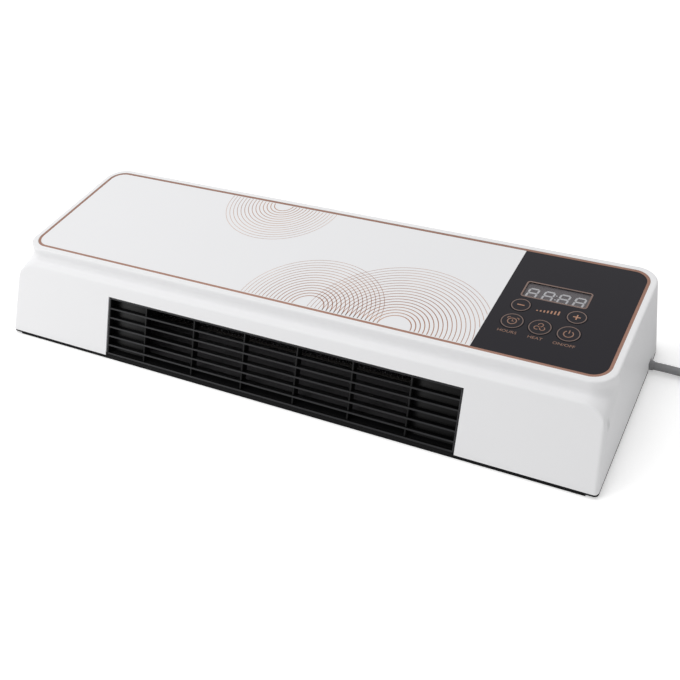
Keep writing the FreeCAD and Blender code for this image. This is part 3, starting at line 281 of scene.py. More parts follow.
# %% [markdown]
# Metal parts are drawn, rolled or turned, and each leaves long fine scratches one way. The scratches
# could be cut into the mesh, but they are far too fine for that. The second group stretches a noise
# along one axis, so that tone and gloss run in streaks.

# %% Shader group for worked metal
def streaked_metal():
    tree, given = surface_group("streaked_metal", "Streaks", "Vector", (40.0, 900.0, 900.0))
    place = add_node(tree, "ShaderNodeTexCoord")["Object"]
    stretched = add_node(tree, "ShaderNodeVectorMath", {0: place, 1: given["Streaks"]}, "MULTIPLY")[0]
    streak = noise(tree, stretched, 1.0, 3.0)
    surface_outputs(tree, given, streak, streak)
    return tree


STREAKED = streaked_metal()
print("group", STREAKED.name, "with", len(STREAKED.nodes), "nodes")

# %% [markdown]
# A finish is one material: a group feeds colour and roughness, and its height goes through a Bump
# node. What is the same all over, such as metallic or the specular level, could come from the group
# too, but an export only keeps it when it is set on the shader itself.

# %% From a group to a finish
BUMP_STRENGTH = 0.35
METAL_GLOSS_DRIFT, METAL_GRAIN_DEPTH = 0.16, 0.006


def finish_from(name, group, settings, depth, metallic, specular):
    material = bpy.data.materials.new(name)
    material.use_nodes = True
    tree = material.node_tree
    surface = tree.nodes.new("ShaderNodeGroup")
    surface.node_tree = group
    set_inputs(tree, surface, settings)
    out = surface.outputs
    relief = {"Strength": BUMP_STRENGTH, "Distance": depth * MM, "Height": out["Height"]}
    set_inputs(tree, tree.nodes["Principled BSDF"], {
        "Base Color": out["Color"],
        "Roughness": out["Roughness"],
        "Normal": add_node(tree, "ShaderNodeBump", relief)["Normal"],
        "Metallic": metallic,
        "Specular IOR Level": specular,
    })
    return material


def moulding(name, tone, gloss, drift=0.03, grain=900.0, gloss_drift=0.08, depth=0.02, specular=0.5):
    settings = {"Tone": (*tone, 1), "Tone Drift": drift, "Gloss": gloss, "Gloss Drift": gloss_drift}
    return finish_from(name, MOULDED, settings | {"Grain Scale": grain}, depth, 0.0, specular)


def metal(name, tone, gloss, streaks=(60.0, 1200.0, 1200.0), drift=0.12):
    settings = {"Tone": (*tone, 1), "Tone Drift": drift, "Gloss": gloss, "Gloss Drift": METAL_GLOSS_DRIFT}
    return finish_from(name, STREAKED, settings | {"Streaks": streaks}, METAL_GRAIN_DEPTH, 1.0, 0.5)


print("bump strength:", BUMP_STRENGTH)

# %% [markdown]
# The casing is white and satin, the panels are glossy, and the grille and the plate are nearly black.
# Inside are greys, a few signal colours and worked metals. Each could be set by hand in the shader
# editor. A table keeps them side by side, where tones are easy to weigh against each other.

# %% Finishes of the slots
MOULDINGS = (
    # name, tone, gloss, tone drift, grain, gloss drift, depth of the grain, specular level
    ("casing_white", (0.825, 0.825, 0.835), 0.46, 0.012, 1100.0, 0.10, 0.012, 0.30),
    ("plate_black", (0.006, 0.006, 0.0065), 0.60, 0.15, 700.0, 0.16, 0.04, 0.07),
    # The grille's tone is darker than black plastic: painted shade for its depth, lifted only at its front
    # faces.
    ("grille_black", (0.003, 0.003, 0.0033), 0.42, 0.12, 900.0, 0.14, 0.02, 0.16),
    ("duct_grey", (0.085, 0.082, 0.086), 0.55, 0.10, 600.0, 0.12, 0.03, 0.35),
    ("panel_white", (0.815, 0.815, 0.828), 0.16, 0.008, 300.0, 0.05, 0.004),
    ("panel_black", (0.015, 0.0135, 0.018), 0.14, 0.05, 300.0, 0.05, 0.003, 0.15),
    ("display", (0.185, 0.168, 0.178), 0.45, 0.06, 800.0, 0.10, 0.02),
    ("dark_plastic", (0.035, 0.035, 0.038), 0.50, 0.10),
    ("relay_blue", (0.04, 0.13, 0.40), 0.35, 0.05),
    ("capacitor_yellow", (0.72, 0.53, 0.09), 0.38, 0.06),
    ("heater_plastic", (0.040, 0.037, 0.035), 0.62, 0.20, 500.0, 0.10, 0.04, 0.25),
    ("rubber", (0.028, 0.028, 0.029), 0.70, 0.12, 600.0, 0.10, 0.03, 0.30),
    ("wire", (0.45, 0.05, 0.04), 0.42, 0.08),
    ("cord_grey", (0.22, 0.22, 0.225), 0.42, 0.06, 700.0, 0.12, 0.02),
    ("plug_grey", (0.18, 0.18, 0.186), 0.46, 0.05, 700.0, 0.14, 0.03),
    ("tie_black", (0.022, 0.022, 0.023), 0.60, 0.15, 500.0, 0.10, 0.04, 0.35),
)
METALS = (
    # name, tone, gloss, streaks, tone drift
    ("copper", (0.29, 0.165, 0.125), 0.42, (500.0, 500.0, 500.0), 0.10),
    ("steel", (0.56, 0.56, 0.58), 0.30),
    ("bronze", (0.46, 0.31, 0.14), 0.42, (900.0, 900.0, 900.0), 0.20),
    ("brass", (0.70, 0.55, 0.25), 0.28),
    ("aluminium", (0.34, 0.34, 0.35), 0.42, (80.0, 1500.0, 1500.0)),
    ("pin_nickel", (0.72, 0.70, 0.66), 0.20),
)
FINISH = {row[0]: moulding(*row) for row in MOULDINGS} | {row[0]: metal(*row) for row in METALS}
print("finishes:", len(FINISH))

# %% [markdown]
# Two finishes need more than the groups give. The circuit board is green lacquer over copper tracks.
# The tracks could be modelled, but they are hidden and flat, so a brick pattern of slightly paler
# lines stands for them. The display window is a smoked film. Glass that bends light would darken the
# figures under it, so an alpha lets most light straight through, and the gloss stays on top.

# %% Circuit board and smoked window
WINDOW_SMOKE = 0.16


def board_green():
    material = moulding("board", (0.018, 0.085, 0.035), 0.32, 0.1)
    tree = material.node_tree
    tracks = add_node(tree, "ShaderNodeTexBrick", {
        "Vector": add_node(tree, "ShaderNodeTexCoord")["Object"],
        "Scale": 90.0,
        "Mortar Size": 0.035,
        "Color1": (0.016, 0.078, 0.032, 1),
        "Color2": (0.020, 0.092, 0.040, 1),
        "Mortar": (0.060, 0.180, 0.080, 1),
    })
    set_inputs(tree, tree.nodes["Principled BSDF"], {"Base Color": tracks["Color"]})
    return material


def smoked_film():
    material = moulding("window", (0.020, 0.019, 0.021), 0.10, 0.05, 300.0, 0.04, 0.002, 0.3)
    material.node_tree.nodes["Principled BSDF"].inputs["Alpha"].default_value = WINDOW_SMOKE
    return material


FINISH["board"] = board_green()
FINISH["window"] = smoked_film()
print("finishes with board and window:", len(FINISH))

# %% [markdown]
# Each solid came with the name of a slot, such as steel or wire. Finishes could be given solid by
# solid, but the slot already says what a piece is made of, so its name picks the finish.

# %% Dress the solids
def dress(solid):
    holder = solid.material_slots[0]
    slot = holder.material.name
    holder.material = FINISH[slot]
    return slot


slots = {name: dress(solid) for name, solid in sorted(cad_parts.items())}
print("dressed", len(slots), "solids in", len(set(slots.values())), "finishes")

# %% [markdown]
# New pieces are plain meshes in the part's own frame. They could be built with the editing tools, but
# points and faces from numbers can be measured and changed. A modifier such as a bevel finishes the
# shape, and is then turned into mesh, so that the export finds only plain meshes.

# %% Helpers that make a piece
SHARP_FROM = math.radians(32.0)


def raw_piece(name, points, faces, finish):
    """A mesh from points in mm."""
    mesh = bpy.data.meshes.new(name)
    mesh.from_pydata([tuple(np.asarray(p) * MM) for p in points], [], [tuple(map(int, f)) for f in faces])
    mesh.materials.append(finish)
    return put_in_scene(name, mesh)


def settle(piece):
    """Turns the modifiers of a piece into mesh and keeps its corners sharp."""
    bpy.context.view_layer.update()
    shown = piece.evaluated_get(bpy.context.evaluated_depsgraph_get())
    mesh = bpy.data.meshes.new_from_object(shown)
    piece.modifiers.clear()
    old, piece.data = piece.data, mesh
    bpy.data.meshes.remove(old)
    mesh.name = piece.name
    mesh.shade_smooth()
    mesh.set_sharp_from_angle(angle=SHARP_FROM)
    return piece


def thicken(piece, thickness, side):
    """Gives a surface a wall in mm, inwards with side -1 and outwards with side 1."""
    wall = piece.modifiers.new("wall", "SOLIDIFY")
    wall.thickness = thickness * MM
    wall.offset = side
    return settle(piece)


print("edges are sharp from", round(math.degrees(SHARP_FROM)), "degrees")

# %% [markdown]
# Some pieces are drawn in parts or cut to length before they are done. Booleans could do both, but
# they are slow on thin shapes. Joining meshes and cutting them by a plane is quick and exact. A piece
# that is done is handed to the body it moves with, and the solids it replaces are hidden.

# %% Helpers that join, cut and hand over
def merged(name, parts, finish):
    """Joins several pieces into one and deletes them."""
    whole = bmesh.new()
    for part in parts:
        mesh = part.data
        whole.from_mesh(mesh)
        bpy.data.objects.remove(part)
        bpy.data.meshes.remove(mesh)
    mesh = bpy.data.meshes.new(name)
    whole.to_mesh(mesh)
    whole.free()
    mesh.materials.clear()
    mesh.materials.append(finish)
    return put_in_scene(name, mesh)


def cut_away(piece, planes, close):
    """Cuts off what lies beyond each plane, given by a point in mm and the way that is cut off."""
    shape = bmesh.new()
    shape.from_mesh(piece.data)
    for point, way in planes:
        everything = shape.verts[:] + shape.edges[:] + shape.faces[:]
        place = Vector(point) * MM
        cut = bmesh.ops.bisect_plane(shape, geom=everything, plane_co=place, plane_no=way, clear_outer=True)
        if close:
            rims = [item for item in cut["geom_cut"] if isinstance(item, bmesh.types.BMEdge)]
            bmesh.ops.holes_fill(shape, edges=rims)
    shape.to_mesh(piece.data)
    shape.free()
    return piece


def hand_over(piece, body, slot, *nodes):
    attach(piece, body)
    if nodes:
        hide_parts(*nodes)
    print(piece.name, "rides on", body, "with", len(getattr(piece.data, "polygons", ())), "faces")


print("helpers for pieces ready, one unit is", MM, "m")

# %% [markdown]
# The mains cord leaves the right end near the floor. Most of it is put away in a flat coil of two
# layers outside the picture: three turns inwards, a climb, and three turns outwards. It could be a
# swept circle of straight pieces, but a cord is one smooth line. So it is a single NURBS spline with
# a round bevel. A spline of order three runs a little inside its points, so the coil's points lie a
# hair further out.

# %% Route of the cord
CORD_EXIT = (248.0, 48.5, 5.0)
LEAD_OUT = [CORD_EXIT, (264, 48.5, 5), (280, 47.4, 4), (295, 46, 4), (309, 46, 4)]
LEAD_IN = [(321, 46, 10.5), (333, 46, 10.5), (350, 45.4, 12.8), (367, 45.4, 12.8)]
COIL_CENTRE = (315.0, 91.15)
COIL_OUTER, COIL_PITCH, COIL_TURNS, POINTS_PER_TURN = 45.15, 6.5, 6, 24
COIL_FLOOR, SPLINE_SHRINK = 4.0, 1.0085


def coil_points():
    half = COIL_TURNS / 2
    for step in range(COIL_TURNS * POINTS_PER_TURN + 1):
        turn = step / POINTS_PER_TURN
        radius = (COIL_OUTER - COIL_PITCH * (half - abs(turn - half))) * SPLINE_SHRINK
        climb = (1 + math.sin(math.pi * max(-0.5, min(0.5, 2 * (turn - half))))) / 2
        angle = math.radians(-90) + 2 * math.pi * turn
        x = COIL_CENTRE[0] + radius * math.cos(angle)
        y = COIL_CENTRE[1] + radius * math.sin(angle)
        yield x, y, COIL_FLOOR + COIL_PITCH * climb


route = [*LEAD_OUT, *coil_points(), *LEAD_IN]
print("cord route of", len(route), "points")

# %% [markdown]
# The cord is one smooth line of the cord's diameter. It rides on the housing, and the three solids of
# the cord that it stands for are hidden.

# %% Mains cord
CORD_DIAMETER = 6.0


def nurbs_line(name, points, radius, finish):
    curve = bpy.data.curves.new(name, "CURVE")
    curve.dimensions = "3D"
    curve.bevel_depth = radius * MM
    curve.bevel_resolution = 4
    curve.resolution_u = 6
    curve.use_fill_caps = True
    line = curve.splines.new("NURBS")
    line.points.add(len(points) - 1)
    for knot, point in zip(line.points, points):
        knot.co = (*(c * MM for c in point), 1)
    line.order_u = 3
    line.use_endpoint_u = True
    curve.materials.append(finish)
    return put_in_scene(name, curve)


cord = nurbs_line("mains_cord", route, CORD_DIAMETER / 2, FINISH["cord_grey"])
hand_over(cord, "housing", "cord_grey", "power_cord", "cord_coil", "cord_tail")

# %% [markdown]
# The casing is one white moulding: drafted ends, a front that leans back, and a raised rim that holds
# the printed panel. All its edges flow into each other, which is hard to get with a bevel. So it is
# written as a rule instead: how far a point is inside or outside. Two surfaces are joined by a
# rounded maximum at an edge and by a rounded minimum in the cove.

# %% Rounded edges as a rule
def round_max(first, second, radius):
    """The larger of two distances, with a round edge where they meet."""
    bend = np.hypot(np.maximum(first + radius, 0), np.maximum(second + radius, 0))
    return np.minimum(np.maximum(first, second), -radius) + bend


def round_min(first, second, radius):
    """The smaller of two distances, with a round hollow where they meet."""
    bend = np.hypot(np.maximum(radius - first, 0), np.maximum(radius - second, 0))
    return np.maximum(np.minimum(first, second), radius) - bend


def quarter_drop(x, half, radius):
    """How far a round corner has turned in, at a distance from the middle."""
    past = np.clip(np.abs(x) - (half - radius), 0, 0.96 * radius)
    return radius - np.sqrt(radius ** 2 - past ** 2)


print("a round edge of 3 mm takes", round(float(round_max(0.0, 0.0, 3.0)), 2), "mm off its corner")

# %% [markdown]
# The front is a flat face with two round top corners. From its upper edge a ledge runs back to the
# foot of the rim, so it droops where the corners turn down. It could be a flat shelf, but then the
# droop that shows at both ends would be missing. So the ledge is ruled: a straight line from each
# point of the face's edge to the foot of the rim behind it.

# %% Front face and ledge
casing_low, casing_high, _ = solid_box("front_casing")
BASE_HALF, HALF_DEPTH, TOP = casing_high
BASE = casing_low[2]
FRONT_LEAN = math.radians(27.4)
FACE_TOP, FACE_HALF, FACE_CORNER = 57.0, 243.2, 18.0
RIM_HALF, RIM_FRONT, RIM_CORNER = 241.6, -45.6, 17.0
LEDGE_AT_RIM, LEDGE_DROOP = 55.5, 0.3


def ledge_height(x, y):
    drop = quarter_drop(x, FACE_HALF, FACE_CORNER)
    up = FACE_TOP - drop
    face_y = up * math.sin(FRONT_LEAN) - HALF_DEPTH
    face_z = BASE + up * math.cos(FRONT_LEAN)
    foot_y = RIM_FRONT + quarter_drop(x, RIM_HALF, RIM_CORNER)
    foot_z = LEDGE_AT_RIM - LEDGE_DROOP * drop
    return face_z + (foot_z - face_z) * (y - face_y) / (foot_y - face_y)


print("ledge at the rim:", round(float(ledge_height(0.0, RIM_FRONT)), 2), "mm high")

# %% [markdown]
# The whole casing is then one rule of ends, back, front, ledge, rim, top and base. At the base a thin
# lip hangs a little over the edge of the back plate, which leaves only a dark line of it in sight.
# Each of these could be a mesh of its own, but a rule joins them with true roundings.

# %% The casing as a rule
DRAFT_HEIGHT = 60.8
END_DRAFT, BACK_DRAFT = 4.5 / DRAFT_HEIGHT, 0.1 / DRAFT_HEIGHT
SHOULDER, END_EDGE, COVE, BACK_CORNER, RIM_EDGE = 1.1, 3.0, 4.0, 17.0, 1.4
BASE_EDGE, LIP = 0.7, 0.85
SLOPE_STEP = 0.1


def ledge_distance(x, y, z):
    fall_x = (ledge_height(x + SLOPE_STEP, y) - ledge_height(x - SLOPE_STEP, y)) / (2 * SLOPE_STEP)
    fall_y = (ledge_height(x, y + SLOPE_STEP) - ledge_height(x, y - SLOPE_STEP)) / (2 * SLOPE_STEP)
    return (z - ledge_height(x, y)) / np.sqrt(1 + fall_x ** 2 + fall_y ** 2)


def casing_rule(x, y, z):
    """Below zero inside the casing, above zero outside, in mm."""
    rise = z - BASE
    ends = np.abs(x) - (BASE_HALF - END_DRAFT * rise)
    back = y - (HALF_DEPTH - BACK_DRAFT * rise)
    front = (math.tan(FRONT_LEAN) * rise - HALF_DEPTH - y) * math.cos(FRONT_LEAN)
    foot = round_max(round_max(ledge_distance(x, y, z), front, SHOULDER), ends, END_EDGE)
    rim = round_max(np.abs(x) - RIM_HALF, RIM_FRONT - y, RIM_CORNER)
    body = np.maximum(round_min(foot, rim, COVE), ends)
    body = round_max(body, back, BACK_CORNER)
    return round_max(round_max(body, z - TOP, RIM_EDGE), BASE - LIP - z, BASE_EDGE)


print("rule at the middle:", round(float(casing_rule(0.0, 0.0, 30.0)), 2))

# %% [markdown]
# A rule has no points, so it has to be walked over to become a mesh. A grid of small cubes could find
# the surface, but it would blur the edges. Here the walk goes round the recess of the panel instead.
# Its stations sit on the edges of the grille opening, the air slots and the cord hole, and lie
# closest together where the front turns into the ends.

# %% Stations round the recess
TRIM_CLEARANCE, RECESS_CORNER = 0.1, 13.15
GRILLE_HALF = 148.0
SLOT_COUNT, SLOT_PITCH, SLOT_WIDTH = 35, 8.0, 4.0
CORD_Y, CORD_HOLE = CORD_EXIT[1], 4.1
_, trim_high, trim_middle = solid_box("copper_trim")
RECESS_MIDDLE = trim_middle[1]
RECESS_X = trim_high[0] + TRIM_CLEARANCE
RECESS_Y = trim_high[1] - RECESS_MIDDLE + TRIM_CLEARANCE


def spaced(*stretches):
    """Places along stretches, each with its start, end and number of places."""
    return np.unique(np.hstack([np.linspace(*stretch) for stretch in stretches]))


FRONT_TURN = spaced((0, 14, 9), (14, 40, 50), (40, 90, 18))
BACK_TURN = spaced((0, 90, 18))


def corner_stations(middle_x, middle_y, start, turns):
    for turn in np.radians(start + turns[1:-1]):
        out_x, out_y = math.cos(turn), math.sin(turn)
        yield middle_x + RECESS_CORNER * out_x, middle_y + RECESS_CORNER * out_y, out_x, out_y


def recess_stations():
    """Points on the recess edge with their outward direction, counter-clockwise from the front left."""
    turn_x = RECESS_X - RECESS_CORNER
    front_y, back_y = RECESS_MIDDLE - RECESS_Y, RECESS_MIDDLE + RECESS_Y
    turn_low, turn_high = front_y + RECESS_CORNER, back_y - RECESS_CORNER
    hole_low, hole_high = CORD_Y - CORD_HOLE, CORD_Y + CORD_HOLE
    slot_middles = (np.arange(SLOT_COUNT) - (SLOT_COUNT - 1) / 2) * SLOT_PITCH
    slot_edges = np.r_[slot_middles - SLOT_WIDTH / 2, slot_middles + SLOT_WIDTH / 2]
    last_edge = slot_edges.max()
    front = spaced((-turn_x, -GRILLE_HALF, 7), (-GRILLE_HALF, GRILLE_HALF, 25), (GRILLE_HALF, turn_x, 7))
    side = spaced((turn_low, hole_low, 9), (hole_low, hole_high, 3), (hole_high, turn_high, 4))
    rear = np.union1d(spaced((-turn_x, -last_edge, 8), (last_edge, turn_x, 8)), slot_edges)
    return np.array([
        *((x, front_y, 0, -1) for x in front),
        *corner_stations(turn_x, turn_low, -90, FRONT_TURN),
        *((RECESS_X, y, 1, 0) for y in side),
        *corner_stations(turn_x, turn_high, 0, BACK_TURN),
        *((x, back_y, 0, 1) for x in rear[::-1]),
        *corner_stations(-turn_x, turn_high, 90, BACK_TURN),
        *((-RECESS_X, y, -1, 0) for y in side[::-1]),
        *corner_stations(-turn_x, turn_low, 180, 90 - FRONT_TURN[::-1]),
    ])


stations = recess_stations()
print("stations round the recess:", len(stations))

# %% [markdown]
# At each station rays go out from the recess edge, level ones for the walls and a fan of rising ones
# for ledge, cove and rim. Where a ray meets the surface could be worked out by hand for flat faces,
# but not for the roundings. So each ray is halved again and again until it ends on the surface.

# %% Rays from the recess to the surface
LONGEST_RAY, HALVINGS = 90.0, 44
EDGE_STEPS = (0.001, 0.06, 0.2, 0.42, 0.7)
CORD_HOLE_TOP, LOW_BAND, SLOT_LOW, SLOT_HIGH, GRILLE_TOP = 9.0, 12.5, 16.0, 54.0, 45.7
UPPER_LEVELS = 8
KNEE_FRONT, KNEE_BACK = -27.3, 64.1
RISING = spaced((0, 20, 15), (20, 38, 24), (38, 64, 14), (64, 90, 30))[1:]
PANEL_SEAT, SEAT_WIDTH = solid_box("decor_panel")[0][2], 3.2


def reach(x, y, z, way_x, way_y, way_z):
    """How far each ray goes before it leaves the casing."""
    near, far = np.zeros_like(x), np.full_like(x, LONGEST_RAY)
    for _ in range(HALVINGS):
        middle = (near + far) / 2
        inside = casing_rule(x + way_x * middle, y + way_y * middle, z + way_z * middle) < 0
        near, far = np.where(inside, middle, near), np.where(inside, far, middle)
    return near


def casing_rows():
    """Rows of points from the base up to the panel's seat, and how many of them are level."""
    x, y, out_x, out_y = stations.T

    def row(start_z, angle):
        flat, up = math.cos(angle), math.sin(angle)
        far = reach(x, y, start_z, out_x * flat, out_y * flat, np.full_like(x, up))
        return np.c_[x + out_x * far * flat, y + out_y * far * flat, start_z + far * up]

    towards_back = np.clip((y - KNEE_FRONT) / (KNEE_BACK - KNEE_FRONT), 0, 1)
    knee = GRILLE_TOP + (SLOT_HIGH - GRILLE_TOP) * towards_back
    heights = [BASE - LIP + step for step in EDGE_STEPS] + [CORD_HOLE_TOP, LOW_BAND, SLOT_LOW]
    levels = [np.full_like(x, height) for height in heights]
    levels += [SLOT_LOW + (knee - SLOT_LOW) * step / UPPER_LEVELS for step in range(1, UPPER_LEVELS + 1)]
    rows = [row(level, 0.0) for level in levels] + [row(knee, angle) for angle in np.radians(RISING)]
    seat = np.full_like(x, PANEL_SEAT)
    rows.append(np.c_[x, y, seat])
    rows.append(np.c_[x - out_x * SEAT_WIDTH, y - out_y * SEAT_WIDTH, seat])
    return np.array(rows), len(levels)


rows, level_count = casing_rows()
print("rows of the casing:", len(rows), "of them level:", level_count)

# %% [markdown]
# The rows become a skin of four-cornered faces. The grille opening, the air slots at the back and the
# hole for the cord could be cut out with booleans. Because stations and rows lie on their edges, it
# is enough to leave their faces out. Solidify then gives the skin the wall of a moulding.

# %% Casing
WALL, TOUCH = 2.4, 0.01


def is_open(first, second, low, high):
    """Whether the patch between two stations and two heights is an opening."""
    x, y, out_x, out_y = (first + second) / 2
    if out_y == -1:
        return abs(x) < GRILLE_HALF and high < GRILLE_TOP + TOUCH
    if out_y == 1:
        in_slot = abs((x / SLOT_PITCH + 0.5) % 1.0 - 0.5) * SLOT_PITCH < SLOT_WIDTH / 2
        in_row = abs(x) < SLOT_COUNT * SLOT_PITCH / 2
        return in_slot and in_row and low > SLOT_LOW - TOUCH and high < SLOT_HIGH + TOUCH
    if out_x == 1:
        return abs(y - CORD_Y) < CORD_HOLE and high < CORD_HOLE_TOP + TOUCH
    return False


def casing_faces():
    ring = len(stations)
    for lower in range(len(rows) - 1):
        for here in range(ring):
            ahead = (here + 1) % ring
            low, high = rows[lower, here, 2], rows[lower + 1, here, 2]
            if lower < level_count - 1 and is_open(stations[here], stations[ahead], low, high):
                continue
            below, above = lower * ring, (lower + 1) * ring
            yield below + here, below + ahead, above + ahead, above + here


skin = raw_piece("casing", rows.reshape(-1, 3), casing_faces(), FINISH["casing_white"])
hand_over(thicken(skin, WALL, -1.0), "housing", "casing_white", "front_casing")

# %% [markdown]
# The outlet grille is a black moulding of five level bars and six upright ribs in a thin frame,
# leaning back with the front. Bars could be copied in a loop, but a row of equal things is a job for
# Geometry Nodes: one bar is drawn, and a tree puts copies of it along a line of points. The same tree
# makes the ribs.

# %% Tree that repeats a piece in a row
def geometry_tree(name, inputs, result):
    """A tree with named inputs, and the identifiers that a modifier sets them by."""
    tree = bpy.data.node_groups.new(name, "GeometryNodeTree")
    sockets = {}
    for label, kind in inputs:
        socket = tree.interface.new_socket(label, in_out="INPUT", socket_type="NodeSocket" + kind)
        sockets[label] = socket.identifier
    tree.interface.new_socket(result, in_out="OUTPUT", socket_type="NodeSocketGeometry")
    return tree, sockets, tree.nodes.new("NodeGroupInput").outputs


def finish_tree(tree, geometry, finish):
    """Ends a tree: copies become real geometry and get their finish."""
    real = add_node(tree, "GeometryNodeRealizeInstances", {"Geometry": geometry})
    painted = add_node(tree, "GeometryNodeSetMaterial", {"Geometry": real[0], "Material": finish})
    add_node(tree, "NodeGroupOutput", {0: painted[0]})


def row_tree():
    inputs = (("Piece", "Geometry"), ("Count", "Int"), ("Step", "Vector"), ("Finish", "Material"))
    tree, sockets, given = geometry_tree("pieces_in_a_row", inputs, "Row")
    line = add_node(tree, "GeometryNodeMeshLine", {"Count": given["Count"], "Offset": given["Step"]})
    copies = add_node(tree, "GeometryNodeInstanceOnPoints", {"Points": line[0], "Instance": given["Piece"]})
    finish_tree(tree, copies[0], given["Finish"])
    return tree, sockets


ROW, ROW_SOCKETS = row_tree()


def in_a_row(piece, count, step, finish):
    row = piece.modifiers.new("row", "NODES")
    row.node_group = ROW
    row[ROW_SOCKETS["Count"]] = count
    row[ROW_SOCKETS["Step"]] = tuple(c * MM for c in step)
    row[ROW_SOCKETS["Finish"]] = finish
    return settle(piece)


print("tree", ROW.name, "with inputs", list(ROW_SOCKETS))

# %% [markdown]
# The grille's depth is painted nearly black as shade, and only the front faces of its bars and frame
# keep a paler black, as if lit. That could be two materials with a seam between them. One material that
# knows how far out a point lies, along the leaning front's own direction, needs no seam.

# %% Painted shade in the grille's depth
BAR_FRONT = -0.7
UNSHADED_FRONT_BLACK = (0.028, 0.028, 0.030)
DEPTH_SHADE_STARTS, DEPTH_SHADE_ENDS = 0.3, 0.1


def leaning(across, up, out):
    """A place in the front's own axes: across, up the front and outwards."""
    lean_y, lean_z = math.sin(FRONT_LEAN), math.cos(FRONT_LEAN)
    return across, -HALF_DEPTH + up * lean_y - out * lean_z, BASE + up * lean_z + out * lean_y


def paint_grille_depth_shade(material):
    tree = material.node_tree
    shader = tree.nodes["Principled BSDF"]
    deep = shader.inputs["Base Color"].links[0].from_socket
    outward = (0.0, -math.cos(FRONT_LEAN), math.sin(FRONT_LEAN))
    front = float(np.dot(leaning(0, 0, BAR_FRONT), outward))
    place = add_node(tree, "ShaderNodeTexCoord")["Object"]
    # Painted shade: behind the front faces the grille keeps its near-black tone, and only the fronts get
    # the paler black.
    out = add_node(tree, "ShaderNodeVectorMath", {0: place, 1: outward}, "DOT_PRODUCT")["Value"]
    band = {"From Min": (front - DEPTH_SHADE_STARTS) * MM, "From Max": (front - DEPTH_SHADE_ENDS) * MM}
    edge = add_node(tree, "ShaderNodeMapRange", {"Value": out, **band})["Result"]
    mix = tree.nodes.new("ShaderNodeMix")
    mix.data_type = "RGBA"
    set_inputs(tree, mix, {"Factor": edge, "A": deep, "B": (*UNSHADED_FRONT_BLACK, 1)})
    set_inputs(tree, shader, {"Base Color": mix.outputs["Result"]})


paint_grille_depth_shade(FINISH["grille_black"])
print("painted shade deeper than the first", DEPTH_SHADE_STARTS, "mm")

# %% [markdown]
# Bars, ribs, rails and stiles are boxes with softly broken edges, drawn in the grille's own leaning
# axes. They could be drawn upright and turned, but then each would need a place of its own. The two
# end bays lie beside the heater, so a blank wall closes them at the back. The whole is cut off level
# at the base, where the moulding stands on the back plate.

# %% Outlet grille
FRAME_HALF, FRAME_LOW, FRAME_HIGH, FRAME_BAR = 147.7, 0.3, 46.67, 1.5
GRILLE_BACK, RIB_FRONT, BLANK_FRONT = -8.2, -1.7, -7.0
BAR_COUNT, BAR_FIRST, BAR_PITCH, BAR_THICK = 5, 8.0, 7.45, 1.3
RIB_COUNT, RIB_PITCH, RIB_THICK, RIB_SHIFT = 6, 44.6, 1.3, -0.9
BAR_INTO_FRAME, RIB_INTO_FRAME = 0.3, 0.5
BROKEN_EDGE = 0.28
BLACK = FINISH["grille_black"]


def leaning_box(name, across, up, out):
    corners = [leaning(a, u, o) for o in out for u in up for a in across]
    faces = [(0, 2, 3, 1), (4, 5, 7, 6), (0, 1, 5, 4), (2, 6, 7, 3), (0, 4, 6, 2), (1, 3, 7, 5)]
    piece = raw_piece(name, corners, faces, BLACK)
    soft = piece.modifiers.new("edge", "BEVEL")
    soft.width = BROKEN_EDGE * MM
    soft.segments = 2
    return settle(piece)


def around(middle, thick):
    return middle - thick / 2, middle + thick / 2


def grille_parts():
    inner = FRAME_HALF - FRAME_BAR
    depth, height = (GRILLE_BACK, BAR_FRONT), (FRAME_LOW, FRAME_HIGH)
    bar_across = (-inner - BAR_INTO_FRAME, inner + BAR_INTO_FRAME)
    bar = leaning_box("bar", bar_across, around(BAR_FIRST, BAR_THICK), depth)
    bar_step = np.subtract(leaning(0, BAR_PITCH, 0), leaning(0, 0, 0))
    yield in_a_row(bar, BAR_COUNT, bar_step, BLACK)
    first = -RIB_PITCH * (RIB_COUNT - 1) / 2 + RIB_SHIFT
    last = first + RIB_PITCH * (RIB_COUNT - 1)
    rib_up = (FRAME_LOW + RIB_INTO_FRAME, FRAME_HIGH - RIB_INTO_FRAME)
    rib = leaning_box("rib", around(first, RIB_THICK), rib_up, (GRILLE_BACK, RIB_FRONT))
    yield in_a_row(rib, RIB_COUNT, (RIB_PITCH, 0, 0), BLACK)
    for up in (FRAME_LOW, FRAME_LOW + FRAME_BAR), (FRAME_HIGH - FRAME_BAR, FRAME_HIGH):
        yield leaning_box("rail", (-FRAME_HALF, FRAME_HALF), up, depth)
    for across in (-FRAME_HALF, -inner), (inner, FRAME_HALF):
        yield leaning_box("stile", across, height, depth)
    for across in (-FRAME_HALF, first), (last, FRAME_HALF):
        yield leaning_box("blank", across, height, (GRILLE_BACK, BLANK_FRONT))


grille = merged("grille", list(grille_parts()), BLACK)
settle(cut_away(grille, [((0, 0, BASE), (0, 0, -1))], close=True))
hand_over(grille, "housing", "grille_black", "outlet_grille")

# %% [markdown]
# Prints on the panels are a few hundredths of a millimetre of ink. They could be painted by a
# texture, but a mesh keeps a thin line sharp at any distance. A line is drawn as a flat strip of one
# width along a path, mitred at its bends.

# %% Helpers for printed lines
def unit(steps):
    return steps / np.linalg.norm(steps, axis=1)[:, None]


